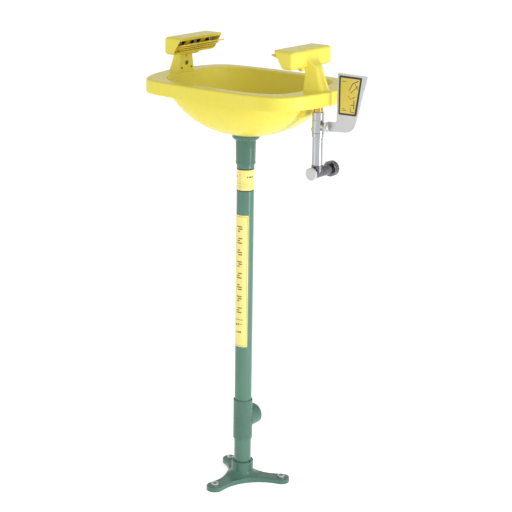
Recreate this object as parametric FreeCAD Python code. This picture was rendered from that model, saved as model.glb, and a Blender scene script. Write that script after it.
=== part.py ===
import FreeCAD, Part
import math
import os

# Pedestal-mounted eyewash station.  Millimetres, +Z up, origin on the floor on the axis of the
# pedestal pipe.  The user stands at -Y and pushes the valve flag away, towards +Y.

# ---------------------------------------------------------------- driving dimensions
rim_top = 1015.0          # height of the bowl's rim above the floor
bowl_depth = 126.0        # rim to the underside round the drain
basin_half_x = 182.0      # bowl opening, inside
basin_half_y = 140.0
side_flange = 58.0        # width of the rim beside the opening
front_flange = 31.5       # and in front of and behind it
pipe_r = 21.1             # 1 1/4 inch pipe
pipe_wall = 3.6

# clearances
seat_gap = 0.3            # side clearance of parts that slip into each other
run_gap = 0.05            # radial clearance of the turning stem
thread_gap = 0.1          # between a thread's two plain cylinders
bond_gap = 0.05           # between a label and the surface it is stuck to
seal_gap = 0.1            # bead of sealant under the drain's lip

# floor casting
base_pcd_r = 100.5        # bolt circle
base_bolt_turn = 25.0     # degrees from +X to the first ear
base_ear_r = 20.5
base_waist_r = pipe_r + 16.9
base_thick = 12.0
base_collar_r = pipe_r + 6.15
base_collar_top = 49.0
base_hub_rise = 12.0      # height of the hub flare above the arms
base_hub_reach = 14.0     # how far the flare runs out along the arms
base_edge_r = 2.5
bush_bore_r = 5.5
bush_sleeve_r = bush_bore_r + 2.0
bush_head_r = bush_bore_r + 4.0
bush_head_h = 5.0
bush_edge = 1.0
pipe_seat_z = 14.0        # where the lower nipple rests in the collar

# waste tee
tee_bottom = 110.0
tee_height = 103.5
tee_r = pipe_r + 2.9
tee_socket = 22.0         # depth of each pipe socket
tee_web = 6.0             # blind wall under the waste outlet
tee_axis_up = 52.0        # branch above the tee's foot
outlet_thread_r = pipe_r - 1.6
outlet_thread_len = 20.0
tee_branch_r = outlet_thread_r + 7.0
tee_branch_end = tee_r + 20.0

# drain
gasket_thick = 2.0
sleeve_len = 73.0
sleeve_r_bottom = pipe_r + 2.2
sleeve_r_top = pipe_r + 3.2
sleeve_flange_r = pipe_r + 11.9
sleeve_flange_h = 13.0
sleeve_flange_edge = 4.5
sleeve_socket = 48.0
tail_r = pipe_r - pipe_wall - 0.5
tail_wall = 2.5
tail_len = 27.0
strainer_r = tail_r + 14.0
strainer_thick = 2.5
strainer_dish_r = tail_r + 7.0
strainer_plate_thick = 1.5
strainer_hole_r = 2.6
strainer_bolt_r = 2.0
strainer_bolt_len = 12.5
strainer_head_r = 4.6
strainer_head_h = 2.4
strainer_bar_half = 1.6   # cross bars that take the screw
strainer_bar_down = 3.0
strainer_hub_r = 4.5

# labels
label_thick = 0.3
strip_bottom = 356.0
strip_len = 334.0
strip_half_deg = 61.0
band_drop = 10.0          # below the drain sleeve
band_len = 55.0

# bowl
rim_skirt = 33.0
rim_bow_x = 45.0
rim_bow_y = 12.0
rim_corner_r = 33.0
rim_edge_r = 3.0
bowl_wall = 4.0
bowl_centre_y = 10.0
basin_flat_r = sleeve_flange_r + 1.0
basin_square = 4.0        # exponent of the opening's outline
basin_round = 2.4         # exponent of the outline near the drain
basin_curve = 1.9         # exponent of the section from rim to drain
basin_steps = (0.0, 0.16, 0.32, 0.48, 0.63, 0.76, 0.87, 0.95)
basin_points = 32         # points round each section
pad_width = 31.0          # moulded pad under the rim beside the valve
pad_front = -16.0
pad_back = 46.0
pad_drop = 70.0

# posts that carry the spray heads
tower_edge = 2.0          # from the opening to the inner face
tower_base = 44.0
tower_neck = 29.0
tower_neck_up = 45.0      # above the rim
tower_shoulder_up = 68.0
tower_inner_half = 29.0   # half width of the inner face at the foot
tower_lean = 0.15         # each side leans in by this much per mm of height
tower_taper = 0.30        # and per mm towards the outer face
tower_wall = 3.0
shoulder_bulge_x = 5.0
shoulder_bulge_z = 4.5
cover_thick = 3.0
drip_hole_r = 2.0
drip_hole_up = 39.0
cover_screw_up = (23.0, 11.5)
cover_screw_r = (5.2, 2.2)
cover_screw_across = 18.0
cover_screw_head = 1.8
cover_screw_len = 8.0

# spray heads
head_half_y = 79.0
head_up = 51.0            # underside above the rim
head_height = 42.0
head_lap = 4.0            # of the head over the post
head_top_width = 52.5
head_foot_width = 26.0
head_wall = 3.0
head_corner_r = 7.0
head_lip_h = 8.0
chin_half = 33.0          # fairing under the head, in front of the post
chin_deep = 18.0
chin_drop = 7.0

louvre_inset = 10.0       # face plate behind the head's slanted edge
rib_shorter = (9.0, 16.0, 22.0, 33.0)
rib_reach = 17.5          # top blade beyond the head's lip, the others step back
rib_tip_step_x = 10.0
rib_tip_up = 29.5         # above the head's underside
rib_tip_step_z = 7.0
rib_root_up = 19.8
rib_root_step_z = 4.3
rib_tip_thick = 2.0
rib_root_thick = 3.4

nozzle_end = 22.0         # outer nozzle from the head's end
window_half = 19.0
nozzle_r = 5.5
nozzle_bore_r = 4.0
nozzle_up = 27.2
manifold_r = 8.5
manifold_wall = 1.5
manifold_end = 9.0
manifold_back = 4.0       # air behind the manifold
nozzle_recess = 0.8       # nozzle mouth behind the face plate
screen_recess = 3.0
riser_r = 5.0
riser_wall = 1.0
riser_bend_r = 9.0
riser_socket = 6.0
riser_neck = 12.0         # from the post's inner face
riser_run_up = 8.5        # riser's run into the head above its underside
screen_thick = 1.0
screen_hole_r = 0.6

# supply line under the right-hand side of the rim
valve_share = 6 / 11      # valve axis, as a share of the post's foot from its inner face
spout_r = 8.5             # nipple through the rim and the post
spout_flange_r = 10.0
spout_flange_h = 2.0
spout_rise = 13.0
locknut_half = 13.0
locknut_h = 6.0
fitting_r = 13.0
fitting_h = 22.0
fitting_bore_r = 6.4
fitting_inset = 9.0       # length and depth of the branch socket
tee_socket_in = 4.5
crossover_up = 11.0       # above the fitting's foot
crossover_r = 6.35
crossover_wall = 1.0
crossover_in = 21.0       # from the back of the rim
crossover_corner = 62.0
branch_r = crossover_r + 3.0
nipple_r = 10.65          # 1/2 inch pipe
nipple_wall = 2.6

# stay-open ball valve
valve_drop = 50.0         # below the rim
valve_h = 58.0
valve_r = 13.75
valve_port_r = 6.5
valve_socket = 13.0
stem_up = 26.0
ball_r = 9.5
ball_chamber_r = ball_r + 0.5
chamber_half = ball_r + 2.0
end_cap_h = 10.0
seat_ring_h = 3.8
stem_r = 4.0
tang_thick = 3.0
tang_deep = 1.8
tang_half = 2.6
boss_r = 8.5
stub_r = 5.0
stub_out = 2.5
boss_end = 17.5           # from the valve axis
packing_h = 4.0
packing_across = 16.0

# push flag, seen from the user
flag_thick = 2.5
flag_y = 7.0              # front face of the flag
tab_out = 5.0             # from the end of the boss
tab_half_y = 9.5
tab_half_z = 11.5
handle_nut_h = 4.5
handle_nut_across = 13.0
flag_clear = 14.0         # from the rim to the flag's straight edge
flag_top_width = 81.0
flag_low_width = 52.0
flag_turn_width = 30.0
flag_rise = 126.0         # above the stem
flag_low_rise = 17.0
flag_neck_rise = 33.0
flag_dip = 8.5
flag_corner = 4.0
sticker_inset = 4.0

# inlet
tube_r = 12.0
tube_len = 66.0
tube_bore_r = valve_port_r + 2.0
regulator_h = 6.0
regulator_bore_r = 2.5
collar_r = 13.3
inlet_drop = 18.5         # inlet axis below the tube
inlet_r = 12.5
inlet_front = -20.0
inlet_back = 50.0
cap_r = 15.0
cap_h = 6.0
union_r = 18.5
union_h = 17.0
inlet_thread_r = 9.4
inlet_thread_len = 14.0
inlet_bore_r = 7.5
cap_edge_r = 1.2
union_edge_r = 3.0
strainer_chamber_r = inlet_bore_r + 1.5
filter_len = 50.0

# ---------------------------------------------------------------- places that follow
basin_foot = rim_top - bowl_depth
sleeve_top = basin_foot - gasket_thick
sleeve_bottom = sleeve_top - sleeve_len
pipe_top = sleeve_bottom + sleeve_socket
tee_top = tee_bottom + tee_height
tee_axis_z = tee_bottom + tee_axis_up
rim_half_x = basin_half_x + side_flange
rim_half_y = basin_half_y + front_flange

tower_x0 = basin_half_x + tower_edge
tower_base_x = tower_x0 + tower_base
tower_neck_x = tower_x0 + tower_neck
tower_neck_z = rim_top + tower_neck_up
tower_shoulder_z = rim_top + tower_shoulder_up

head_bottom = rim_top + head_up
head_top = head_bottom + head_height
head_back_x = tower_x0 + head_lap
head_lip_x = head_back_x - head_top_width
head_foot_x = head_back_x - head_foot_width
nozzle_z = head_bottom + nozzle_up
nozzle_pitch = head_half_y - nozzle_end
manifold_x = head_back_x - head_wall - manifold_r - manifold_back
riser_run_z = head_bottom + riser_run_up

valve_x = tower_x0 + valve_share * tower_base
spout_top = rim_top + spout_rise
riser_foot = spout_top - riser_socket
locknut_z = rim_top - bowl_wall - locknut_h
fitting_top = locknut_z - 0.5
fitting_bottom = fitting_top - fitting_h
crossover_z = fitting_bottom + crossover_up
crossover_y = bowl_centre_y + rim_half_y - crossover_in
spout_seat = crossover_z + crossover_r + 1.5

valve_top = rim_top - valve_drop
valve_bottom = valve_top - valve_h
valve_split = valve_bottom + end_cap_h
stem_z = valve_bottom + stem_up
tab_x = valve_x + boss_end + tab_out
flag_left_x = rim_half_x + flag_clear
tube_bottom = valve_bottom - tube_len
inlet_z = tube_bottom - inlet_drop

O = FreeCAD.Vector(0, 0, 0)
X = FreeCAD.Vector(1, 0, 0)
Y = FreeCAD.Vector(0, 1, 0)
Z = FreeCAD.Vector(0, 0, 1)


# ---------------------------------------------------------------- small helpers
def vec(x, y, z):
    return FreeCAD.Vector(x, y, z)


def polar(r, degrees, z=0.0):
    return vec(r * math.cos(math.radians(degrees)), r * math.sin(math.radians(degrees)), z)


def rod(r, length, at=O, along=Z):
    return Part.makeCylinder(r, length, at, along)


def ring(r, bore, length, at=O, along=Z):
    return rod(r, length, at, along).cut(rod(bore, length, at, along))


def block(x0, x1, y0, y1, z0, z1):
    return Part.makeBox(x1 - x0, y1 - y0, z1 - z0, vec(x0, y0, z0))


def prism(points, push):
    return Part.Face(Part.makePolygon(points + points[:1])).extrude(push)


def hexagon(across, height, at, along=Z):
    corner = across / math.sqrt(3)
    solid = prism([polar(corner, 60 * i) for i in range(6)], vec(0, 0, height))
    solid.Placement = FreeCAD.Placement(at, FreeCAD.Rotation(Z, along))
    return solid


def mirrored(shape):
    return shape.mirror(O, X)


def route(points, bend):
    """Wire through the points, with each corner turned into a tangent arc."""
    edges = []
    start = points[0]
    for before, corner, after in zip(points, points[1:], points[2:]):
        back = (before - corner).normalize()
        ahead = (after - corner).normalize()
        half = back.getAngle(ahead) / 2
        reach = bend / math.tan(half)
        enter = corner + back * reach
        leave = corner + ahead * reach
        inward = (back + ahead).normalize()
        middle = corner + inward * (bend / math.sin(half) - bend)
        edges.append(Part.makeLine(start, enter))
        edges.append(Part.Arc(enter, middle, leave).toShape())
        start = leave
    edges.append(Part.makeLine(start, points[-1]))
    return Part.Wire(edges)


def bent_tube(points, r, wall, bend):
    path = route(points, bend)
    heading = points[1] - points[0]
    outer = Part.Wire(Part.makeCircle(r, points[0], heading))
    inner = Part.Wire(Part.makeCircle(r - wall, points[0], heading))
    solid = path.makePipeShell([outer], True, True)
    core = path.makePipeShell([inner], True, True)
    return solid.cut(core)


# ---------------------------------------------------------------- pedestal
def ear_angles():
    return [base_bolt_turn + 120 * i for i in range(3)]


def base_outline():
    """Three round ears joined by hollow sides; each side is one arc that touches both ears."""
    slack = base_ear_r - base_waist_r
    far = (base_pcd_r ** 2 - slack ** 2) / (base_pcd_r + 2 * slack)
    hollow = far - base_waist_r
    edges = []
    for angle in ear_angles():
        ear = polar(base_pcd_r, angle)
        left = polar(far, angle + 60)
        right = polar(far, angle - 60)
        touch_right = ear + (right - ear).normalize() * base_ear_r
        touch_left = ear + (left - ear).normalize() * base_ear_r
        next_ear = polar(base_pcd_r, angle + 120)
        touch_next = next_ear + (left - next_ear).normalize() * base_ear_r
        edges.append(Part.Arc(touch_right, polar(base_pcd_r + base_ear_r, angle), touch_left).toShape())
        edges.append(Part.Arc(touch_left, polar(far - hollow, angle + 60), touch_next).toShape())
    return Part.Wire(edges)


def base_flange():
    plan = Part.Face(base_outline())
    arms = plan.extrude(vec(0, 0, base_thick))
    arms = arms.makeFillet(base_edge_r, [e for e in arms.Edges if e.BoundBox.ZMin > base_thick - 0.1])
    flare_r = base_waist_r + base_hub_reach
    flare_top = base_thick + base_hub_rise
    profile = Part.Wire([
        Part.makeLine(vec(0, 0, 1), vec(flare_r, 0, 1)),
        Part.makeLine(vec(flare_r, 0, 1), vec(flare_r, 0, base_thick)),
        Part.Arc(vec(flare_r, 0, base_thick), vec(base_collar_r + 7, 0, base_thick + 4),
                 vec(base_collar_r, 0, flare_top)).toShape(),
        Part.makeLine(vec(base_collar_r, 0, flare_top), vec(base_collar_r, 0, base_collar_top)),
        Part.makeLine(vec(base_collar_r, 0, base_collar_top), vec(0, 0, base_collar_top)),
        Part.makeLine(vec(0, 0, base_collar_top), vec(0, 0, 1)),
    ])
    hub = Part.Face(profile).revolve(O, Z, 360)
    hub = hub.common(plan.extrude(vec(0, 0, base_collar_top)))
    casting = arms.fuse(hub).removeSplitter()
    casting = casting.cut(rod(pipe_r + seat_gap, base_collar_top, vec(0, 0, pipe_seat_z)))
    casting = casting.cut(rod(pipe_r - pipe_wall, base_collar_top))
    for angle in ear_angles():
        casting = casting.cut(rod(bush_sleeve_r + seat_gap, base_thick + 1, polar(base_pcd_r, angle)))
    return casting


def base_bushes():
    bushes = []
    for angle in ear_angles():
        at = polar(base_pcd_r, angle)
        bush = rod(bush_sleeve_r, base_thick, at)
        head = rod(bush_head_r, bush_head_h, at + vec(0, 0, base_thick))
        rim = [e for e in head.Edges if e.BoundBox.ZMin > base_thick + bush_head_h - 0.1]
        head = head.makeChamfer(bush_edge, rim)
        bush = bush.fuse(head).cut(rod(bush_bore_r, base_thick + bush_head_h, at))
        bushes.append(bush)
    return Part.makeCompound(bushes)


def lower_nipple():
    top = tee_bottom + tee_socket
    return ring(pipe_r, pipe_r - pipe_wall, top - pipe_seat_z, vec(0, 0, pipe_seat_z))


def waste_tee():
    run = rod(tee_r, tee_height, vec(0, 0, tee_bottom))
    branch = rod(tee_branch_r, tee_branch_end, vec(0, 0, tee_axis_z), Y)
    body = run.fuse(branch).removeSplitter()
    socket_r = pipe_r + seat_gap
    bore_r = pipe_r - pipe_wall
    web_top = tee_bottom + tee_socket + tee_web
    body = body.cut(rod(socket_r, tee_socket, vec(0, 0, tee_bottom)))
    body = body.cut(rod(bore_r, tee_height, vec(0, 0, web_top)))
    body = body.cut(rod(socket_r, tee_socket, vec(0, 0, tee_top - tee_socket)))
    body = body.cut(rod(bore_r, tee_branch_end, vec(0, 0, tee_axis_z), Y))
    mouth = tee_branch_end - outlet_thread_len
    return body.cut(rod(outlet_thread_r, outlet_thread_len, vec(0, mouth, tee_axis_z), Y))


def stand_pipe():
    low = tee_top - tee_socket
    return ring(pipe_r, pipe_r - pipe_wall, pipe_top - low, vec(0, 0, low))


def drain_sleeve():
    body_h = sleeve_len - sleeve_flange_h
    body = Part.makeCone(sleeve_r_bottom, sleeve_r_top, body_h, vec(0, 0, sleeve_bottom))
    flange = rod(sleeve_flange_r, sleeve_flange_h, vec(0, 0, sleeve_top - sleeve_flange_h))
    flange = flange.makeFillet(sleeve_flange_edge, [e for e in flange.Edges if e.BoundBox.ZMax < sleeve_top - 1])
    solid = body.fuse(flange)
    solid = solid.cut(rod(pipe_r + seat_gap, sleeve_socket, vec(0, 0, sleeve_bottom)))
    return solid.cut(rod(tail_r + seat_gap, sleeve_len, vec(0, 0, pipe_top)))


def flange_gasket():
    return ring(sleeve_flange_r - 1, tail_r + seat_gap, gasket_thick, vec(0, 0, sleeve_top))


def drain_tail():
    """Flanged tailpiece that clamps the bowl between its lip and the sleeve's flange."""
    lip_z = basin_foot + bowl_wall + seal_gap
    tail = rod(tail_r, tail_len, vec(0, 0, lip_z - tail_len))
    lip = rod(strainer_r, strainer_thick, vec(0, 0, lip_z))
    solid = tail.fuse(lip).cut(rod(tail_r - tail_wall, tail_len + strainer_thick, vec(0, 0, lip_z - tail_len)))
    bar_half = strainer_bar_half
    bar_top = lip_z - strainer_bar_down
    for angle in (0, 90):
        bar = block(-tail_r + 1, tail_r - 1, -bar_half, bar_half, bar_top - 2 * bar_half, bar_top)
        bar.rotate(O, Z, angle)
        solid = solid.fuse(bar)
    hub = rod(strainer_hub_r, 3 * bar_half, vec(0, 0, bar_top - 3 * bar_half + 1))
    thread = rod(strainer_bolt_r + thread_gap, tail_len, vec(0, 0, lip_z - tail_len))
    return solid.fuse(hub).removeSplitter().cut(thread)


def strainer_plate():
    z = basin_foot + bowl_wall + seal_gap + strainer_thick
    plate = rod(strainer_dish_r, strainer_plate_thick, vec(0, 0, z))
    plate = plate.cut(rod(strainer_bolt_r + seat_gap, 4, vec(0, 0, z - 1)))
    for orbit, count in ((strainer_dish_r / 3, 6), (strainer_dish_r * 0.56, 12)):
        for i in range(count):
            plate = plate.cut(rod(strainer_hole_r, 4, polar(orbit, 360.0 * i / count, z - 1)))
    return plate


def strainer_screw():
    z = basin_foot + bowl_wall + seal_gap + strainer_thick + strainer_plate_thick
    head_r = strainer_head_r
    head_h = strainer_head_h
    shank = rod(strainer_bolt_r, strainer_bolt_len, vec(0, 0, z - strainer_bolt_len))
    head = rod(head_r, head_h, vec(0, 0, z))
    head = head.makeFillet(1.0, [e for e in head.Edges if e.BoundBox.ZMin > z + head_h - 0.1])
    slot = block(-head_r, head_r, -0.6, 0.6, z + head_h / 2, z + head_h + 1)
    return shank.fuse(head).cut(slot)


def label_sector(low, high, half_deg, middle_deg):
    inner = pipe_r + bond_gap
    solid = ring(inner + label_thick, inner, high - low, vec(0, 0, low))
    if half_deg < 180:
        reach = inner + 5
        span = 2 * half_deg
        wedge = Part.makeCylinder(reach, high - low, vec(0, 0, low), Z, span)
        wedge.rotate(O, Z, middle_deg - half_deg)
        solid = solid.common(wedge)
    return solid


def label_strip():
    return label_sector(strip_bottom, strip_bottom + strip_len, strip_half_deg, -90)


def label_band():
    top = sleeve_bottom - band_drop
    return label_sector(top - band_len, top, 180, 0)


# ---------------------------------------------------------------- bowl
def rim_block(inset, low, high):
    """Four bowed sides with rounded corners."""
    hx = rim_half_x - inset
    hy = rim_half_y - inset
    cx = hx - rim_bow_x
    cy = hy - rim_bow_y
    y0 = bowl_centre_y
    corners = [vec(cx, y0 - cy, low), vec(cx, y0 + cy, low), vec(-cx, y0 + cy, low), vec(-cx, y0 - cy, low)]
    crowns = [vec(hx, y0, low), vec(0, y0 + hy, low), vec(-hx, y0, low), vec(0, y0 - hy, low)]
    edges = [Part.Arc(corners[i], crowns[i], corners[(i + 1) % 4]).toShape() for i in range(4)]
    solid = Part.Face(Part.Wire(edges)).extrude(vec(0, 0, high - low))
    upright = [e for e in solid.Edges if e.BoundBox.ZLength > (high - low) * 0.9]
    return solid.makeFillet(rim_corner_r - inset, upright)


def basin_section(share, inset, depth):
    """Closed outline of the basin at a share of its depth; it goes from squarish to round."""
    spread = (1 - share ** basin_curve) ** (1 / basin_curve)
    flat = basin_flat_r - inset
    hx = flat + (basin_half_x + bowl_wall - inset - flat) * spread
    hy = flat + (basin_half_y + bowl_wall - inset - flat) * spread
    power = basin_square + (basin_round - basin_square) * share
    z = rim_top - depth * share
    shift = bowl_centre_y * spread
    points = []
    for i in range(basin_points):
        angle = 2 * math.pi * i / basin_points
        c = math.cos(angle)
        s = math.sin(angle)
        size = (abs(c) ** power + abs(s) ** power) ** (-1 / power)
        points.append(vec(hx * size * c, shift + hy * size * s, z))
    curve = Part.BSplineCurve()
    curve.interpolate(Points=points, PeriodicFlag=True)
    return Part.Wire(curve.toShape())


def basin_form(inset, depth):
    sections = [basin_section(share, inset, depth) for share in basin_steps]
    foot = Part.BSplineCurve()
    r = basin_flat_r - inset
    circle = [polar(r, 360.0 * i / basin_points, rim_top - depth) for i in range(basin_points)]
    foot.interpolate(Points=circle, PeriodicFlag=True)
    sections.append(Part.Wire(foot.toShape()))
    return Part.makeLoft(sections, True, False)


def bowl():
    skirt_z = rim_top - rim_skirt
    rim = rim_block(0, skirt_z, rim_top)
    top_edges = [e for e in rim.Edges if e.BoundBox.ZMin > rim_top - 0.1]
    rim = rim.makeFillet(rim_edge_r, top_edges)
    rim = rim.cut(rim_block(bowl_wall, skirt_z, rim_top - bowl_wall))
    pad = block(basin_half_x + 1 - pad_width, basin_half_x + 1, pad_front, pad_back,
                rim_top - pad_drop, rim_top - bowl_wall + 1)
    shell = rim.fuse(basin_form(0, bowl_depth)).fuse(pad)
    shell = shell.cut(basin_form(bowl_wall, bowl_depth - bowl_wall))
    shell = shell.cut(rod(tail_r + seat_gap, 30, vec(0, 0, basin_foot - 10)))
    for side in (-1, 1):
        shell = shell.cut(rod(spout_r + seat_gap, 30, vec(side * valve_x, 0, rim_top - 20)))
    return shell


# ---------------------------------------------------------------- head posts
def tower_profile(inset):
    """Side view of a post: upright inner face, leaning back, shoulder curling into the head."""
    foot = vec(tower_x0, 0, rim_top + inset)
    heel = vec(tower_base_x - inset, 0, rim_top + inset)
    neck = vec(tower_neck_x - inset, 0, tower_neck_z)
    crown = vec(head_back_x, 0, tower_shoulder_z - inset)
    middle_x = (tower_neck_x + head_back_x) / 2 + shoulder_bulge_x - inset * 0.8
    middle_z = (tower_neck_z + tower_shoulder_z) / 2 + shoulder_bulge_z - inset * 0.6
    under = vec(head_back_x, 0, head_bottom)
    inner = vec(tower_x0, 0, head_bottom)
    return Part.Face(Part.Wire([
        Part.makeLine(foot, heel),
        Part.makeLine(heel, neck),
        Part.Arc(neck, vec(middle_x, 0, middle_z), crown).toShape(),
        Part.makeLine(crown, under),
        Part.makeLine(under, inner),
        Part.makeLine(inner, foot),
    ]))


def tower_half(x, z):
    """Half width of a post; it narrows upwards and towards its outer face."""
    return tower_inner_half - tower_lean * (z - rim_top) - tower_taper * (x - tower_x0)


def tower_width(inset):
    """Wedge whose two leaning sides bound the post in Y."""
    side = inset * math.sqrt(1 + tower_lean ** 2 + tower_taper ** 2)
    rings = []
    for z, x1 in ((rim_top, tower_base_x + 6), (tower_shoulder_z + 2, tower_neck_x)):
        near = tower_half(tower_x0, z) - side
        far = tower_half(x1, z) - side
        rings.append([vec(tower_x0, -near, z), vec(x1, -far, z), vec(x1, far, z), vec(tower_x0, near, z)])
    foot, top = rings
    loops = [foot, top]
    loops += [[foot[i - 1], foot[i], top[i], top[i - 1]] for i in range(4)]
    faces = [Part.Face(Part.makePolygon(loop + loop[:1])) for loop in loops]
    return Part.makeSolid(Part.makeShell(faces))


def tower_form(inset):
    reach = 2 * tower_inner_half
    face = tower_profile(inset)
    face.translate(vec(0, -reach, 0))
    return face.extrude(vec(0, 2 * reach, 0)).common(tower_width(inset))


def tower():
    reach = 2 * tower_inner_half
    ceiling = block(tower_x0 - 1, head_back_x, -reach, reach, head_bottom - tower_wall, head_bottom)
    cavity = tower_form(tower_wall).cut(ceiling)
    solid = tower_form(0).cut(cavity)
    return solid.cut(rod(spout_r + seat_gap, 2 * tower_wall, vec(valve_x, 0, rim_top - 1)))


def tower_cover():
    """Flat plate that closes the post on the side that faces the bowl."""
    reach = 2 * tower_inner_half
    slab = block(tower_x0, tower_x0 + cover_thick, -reach, reach,
                 rim_top + tower_wall, head_bottom - tower_wall - seat_gap)
    plate = slab.common(tower_width(tower_wall + seat_gap))
    for y, z, r in cover_screw_places():
        plate = plate.cut(rod(r / 2 + 0.1, cover_thick + 2, vec(tower_x0 - 1, y, z), X))
    return plate.cut(rod(drip_hole_r, cover_thick + 2, vec(tower_x0 - 1, 0, rim_top + drip_hole_up), X))


def cover_screw_places():
    """Offset across, height and head radius of the three screws."""
    high, low = [rim_top + up for up in cover_screw_up]
    large, small = cover_screw_r
    return ((0.0, high, large), (-cover_screw_across, low, small), (cover_screw_across, low, small))


def cover_screws():
    screws = []
    for y, z, r in cover_screw_places():
        head = rod(r, cover_screw_head, vec(tower_x0 - cover_screw_head, y, z), X)
        shank = rod(r / 2, cover_screw_len, vec(tower_x0, y, z), X)
        screw = head.fuse(shank)
        front = tower_x0 - cover_screw_head - 1
        floor = tower_x0 - cover_screw_head / 2
        long = r * 0.75
        thin = r * 0.16
        screw = screw.cut(block(front, floor, y - long, y + long, z - thin, z + thin))
        screw = screw.cut(block(front, floor, y - thin, y + thin, z - long, z + long))
        screws.append(screw)
    return Part.makeCompound(screws)


# ---------------------------------------------------------------- spray heads
def slant_x(z):
    """Inner face of the head at a height."""
    share = (head_top - z) / (head_top - head_bottom)
    return head_lip_x + (head_foot_x - head_lip_x) * share


def head_prism(x_shift, back, low, high, half):
    points = [vec(slant_x(high) + x_shift, -half, high), vec(back, -half, high),
              vec(back, -half, low), vec(slant_x(low) + x_shift, -half, low)]
    return prism(points, vec(0, 2 * half, 0))


def head_hood():
    outer = head_prism(0, head_back_x, head_bottom, head_top, head_half_y)
    upright = [e for e in outer.Edges if e.BoundBox.XMin > head_back_x - 0.1 and e.BoundBox.ZLength > 20]
    outer = outer.makeFillet(head_corner_r, upright)
    rest = head_half_y - head_wall
    inner = head_prism(head_wall * 1.2, head_back_x - head_wall, head_bottom + head_wall,
                       head_top - head_wall, rest)
    hood = outer.cut(inner)
    gap = head_prism(-20, head_back_x - 12, head_bottom + head_wall, head_top - head_lip_h, rest)
    hood = hood.cut(gap)
    low = head_bottom - chin_drop
    chin = prism([vec(tower_x0 - chin_deep, -chin_half, head_bottom), vec(tower_x0, -chin_half, head_bottom),
                  vec(tower_x0, -chin_half, low), vec(tower_x0 - chin_deep / 2, -chin_half, low)],
                 vec(0, 2 * chin_half, 0))
    pipe_hole = rod(riser_r + seat_gap, 10, vec(head_back_x - 6, 0, riser_run_z), X)
    return hood.fuse(chin).removeSplitter().cut(pipe_hole)


def louvre_plate():
    """Slanted face plate with stepped blades; a window over each nozzle sits above the top blade."""
    low = head_bottom + head_wall + seat_gap
    high = head_top - head_lip_h - seat_gap
    half = head_half_y - head_wall - seat_gap
    low_x = slant_x(low) + louvre_inset
    high_x = slant_x(high) + louvre_inset
    run = [vec(low_x, -half, low), vec(high_x, -half, high),
           vec(high_x + head_wall, -half, high), vec(low_x + head_wall, -half, low)]
    plate = prism(run, vec(0, 2 * half, 0))
    window_low = nozzle_z - nozzle_r - seat_gap
    for y in nozzle_places():
        plate = plate.cut(block(0, head_back_x, y - window_half, y + window_half, window_low, high + 1))
    for i, shorter in enumerate(rib_shorter):
        reach = head_half_y - shorter
        tip = head_lip_x - rib_reach + i * rib_tip_step_x
        tip_z = head_bottom + rib_tip_up - i * rib_tip_step_z
        root_z = head_bottom + rib_root_up - i * rib_root_step_z
        root = slant_x(root_z) + louvre_inset + head_wall / 2
        section = [vec(tip, -reach, tip_z), vec(root, -reach, root_z),
                   vec(root, -reach, root_z - rib_root_thick), vec(tip, -reach, tip_z - rib_tip_thick)]
        plate = plate.fuse(prism(section, vec(0, 2 * reach, 0)))
    return plate.removeSplitter()


def nozzle_places():
    return (-nozzle_pitch, 0.0, nozzle_pitch)


def nozzles():
    bodies = []
    start = slant_x(nozzle_z) + louvre_inset + nozzle_recess
    for y in nozzle_places():
        body = ring(nozzle_r, nozzle_bore_r, manifold_x - start, vec(start, y, nozzle_z), X)
        saddle = rod(manifold_r + seat_gap, 4 * nozzle_r, vec(manifold_x, y - 2 * nozzle_r, nozzle_z), Y)
        body = body.cut(saddle)
        bodies.append(body)
    return Part.makeCompound(bodies)


def nozzle_screens():
    discs = []
    start = slant_x(nozzle_z) + louvre_inset + screen_recess
    for y in nozzle_places():
        disc = rod(nozzle_bore_r - thread_gap, screen_thick, vec(start, y, nozzle_z), X)
        for i in range(6):
            around = polar(nozzle_bore_r * 0.62, 60 * i)
            spot = vec(start - 1, y + around.x, nozzle_z + around.y)
            disc = disc.cut(rod(screen_hole_r, 4, spot, X))
        discs.append(disc)
    return Part.makeCompound(discs)


def head_manifold():
    half = head_half_y - manifold_end
    inner_half = half - manifold_wall
    tube = rod(manifold_r, 2 * half, vec(manifold_x, -half, nozzle_z), Y)
    core = rod(manifold_r - manifold_wall, 2 * inner_half, vec(manifold_x, -inner_half, nozzle_z), Y)
    tube = tube.cut(core)
    for y in nozzle_places():
        port = vec(manifold_x - manifold_r - 1, y, nozzle_z)
        tube = tube.cut(rod(nozzle_bore_r - 0.5, manifold_r + 1, port, X))
    return tube.cut(rod(riser_r - riser_wall, manifold_r, vec(manifold_x, 0, nozzle_z - manifold_r - 1), Z))


def riser_tube():
    top = riser_run_z
    neck_x = tower_x0 + riser_neck
    end = nozzle_z - manifold_r - seat_gap
    points = [vec(valve_x, 0, riser_foot), vec(valve_x, 0, spout_top + 4),
              vec(neck_x, 0, tower_neck_z - 4), vec(neck_x, 0, top),
              vec(manifold_x, 0, top), vec(manifold_x, 0, end)]
    return bent_tube(points, riser_r, riser_wall, riser_bend_r)


# ---------------------------------------------------------------- plumbing under the rim
def tower_nipple():
    """Flanged nipple that clamps the post to the rim with the nut below."""
    low = spout_seat
    nipple = rod(spout_r, spout_top - low, vec(valve_x, 0, low))
    nipple = nipple.fuse(rod(spout_flange_r, spout_flange_h, vec(valve_x, 0, rim_top + tower_wall)))
    nipple = nipple.cut(rod(riser_r - riser_wall, spout_top - low, vec(valve_x, 0, low)))
    return nipple.cut(rod(riser_r + seat_gap, riser_socket, vec(valve_x, 0, riser_foot)))


def rim_locknut():
    nut = hexagon(2 * locknut_half, locknut_h, vec(valve_x, 0, locknut_z))
    return nut.cut(rod(spout_r + thread_gap, locknut_h, vec(valve_x, 0, locknut_z)))


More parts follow.
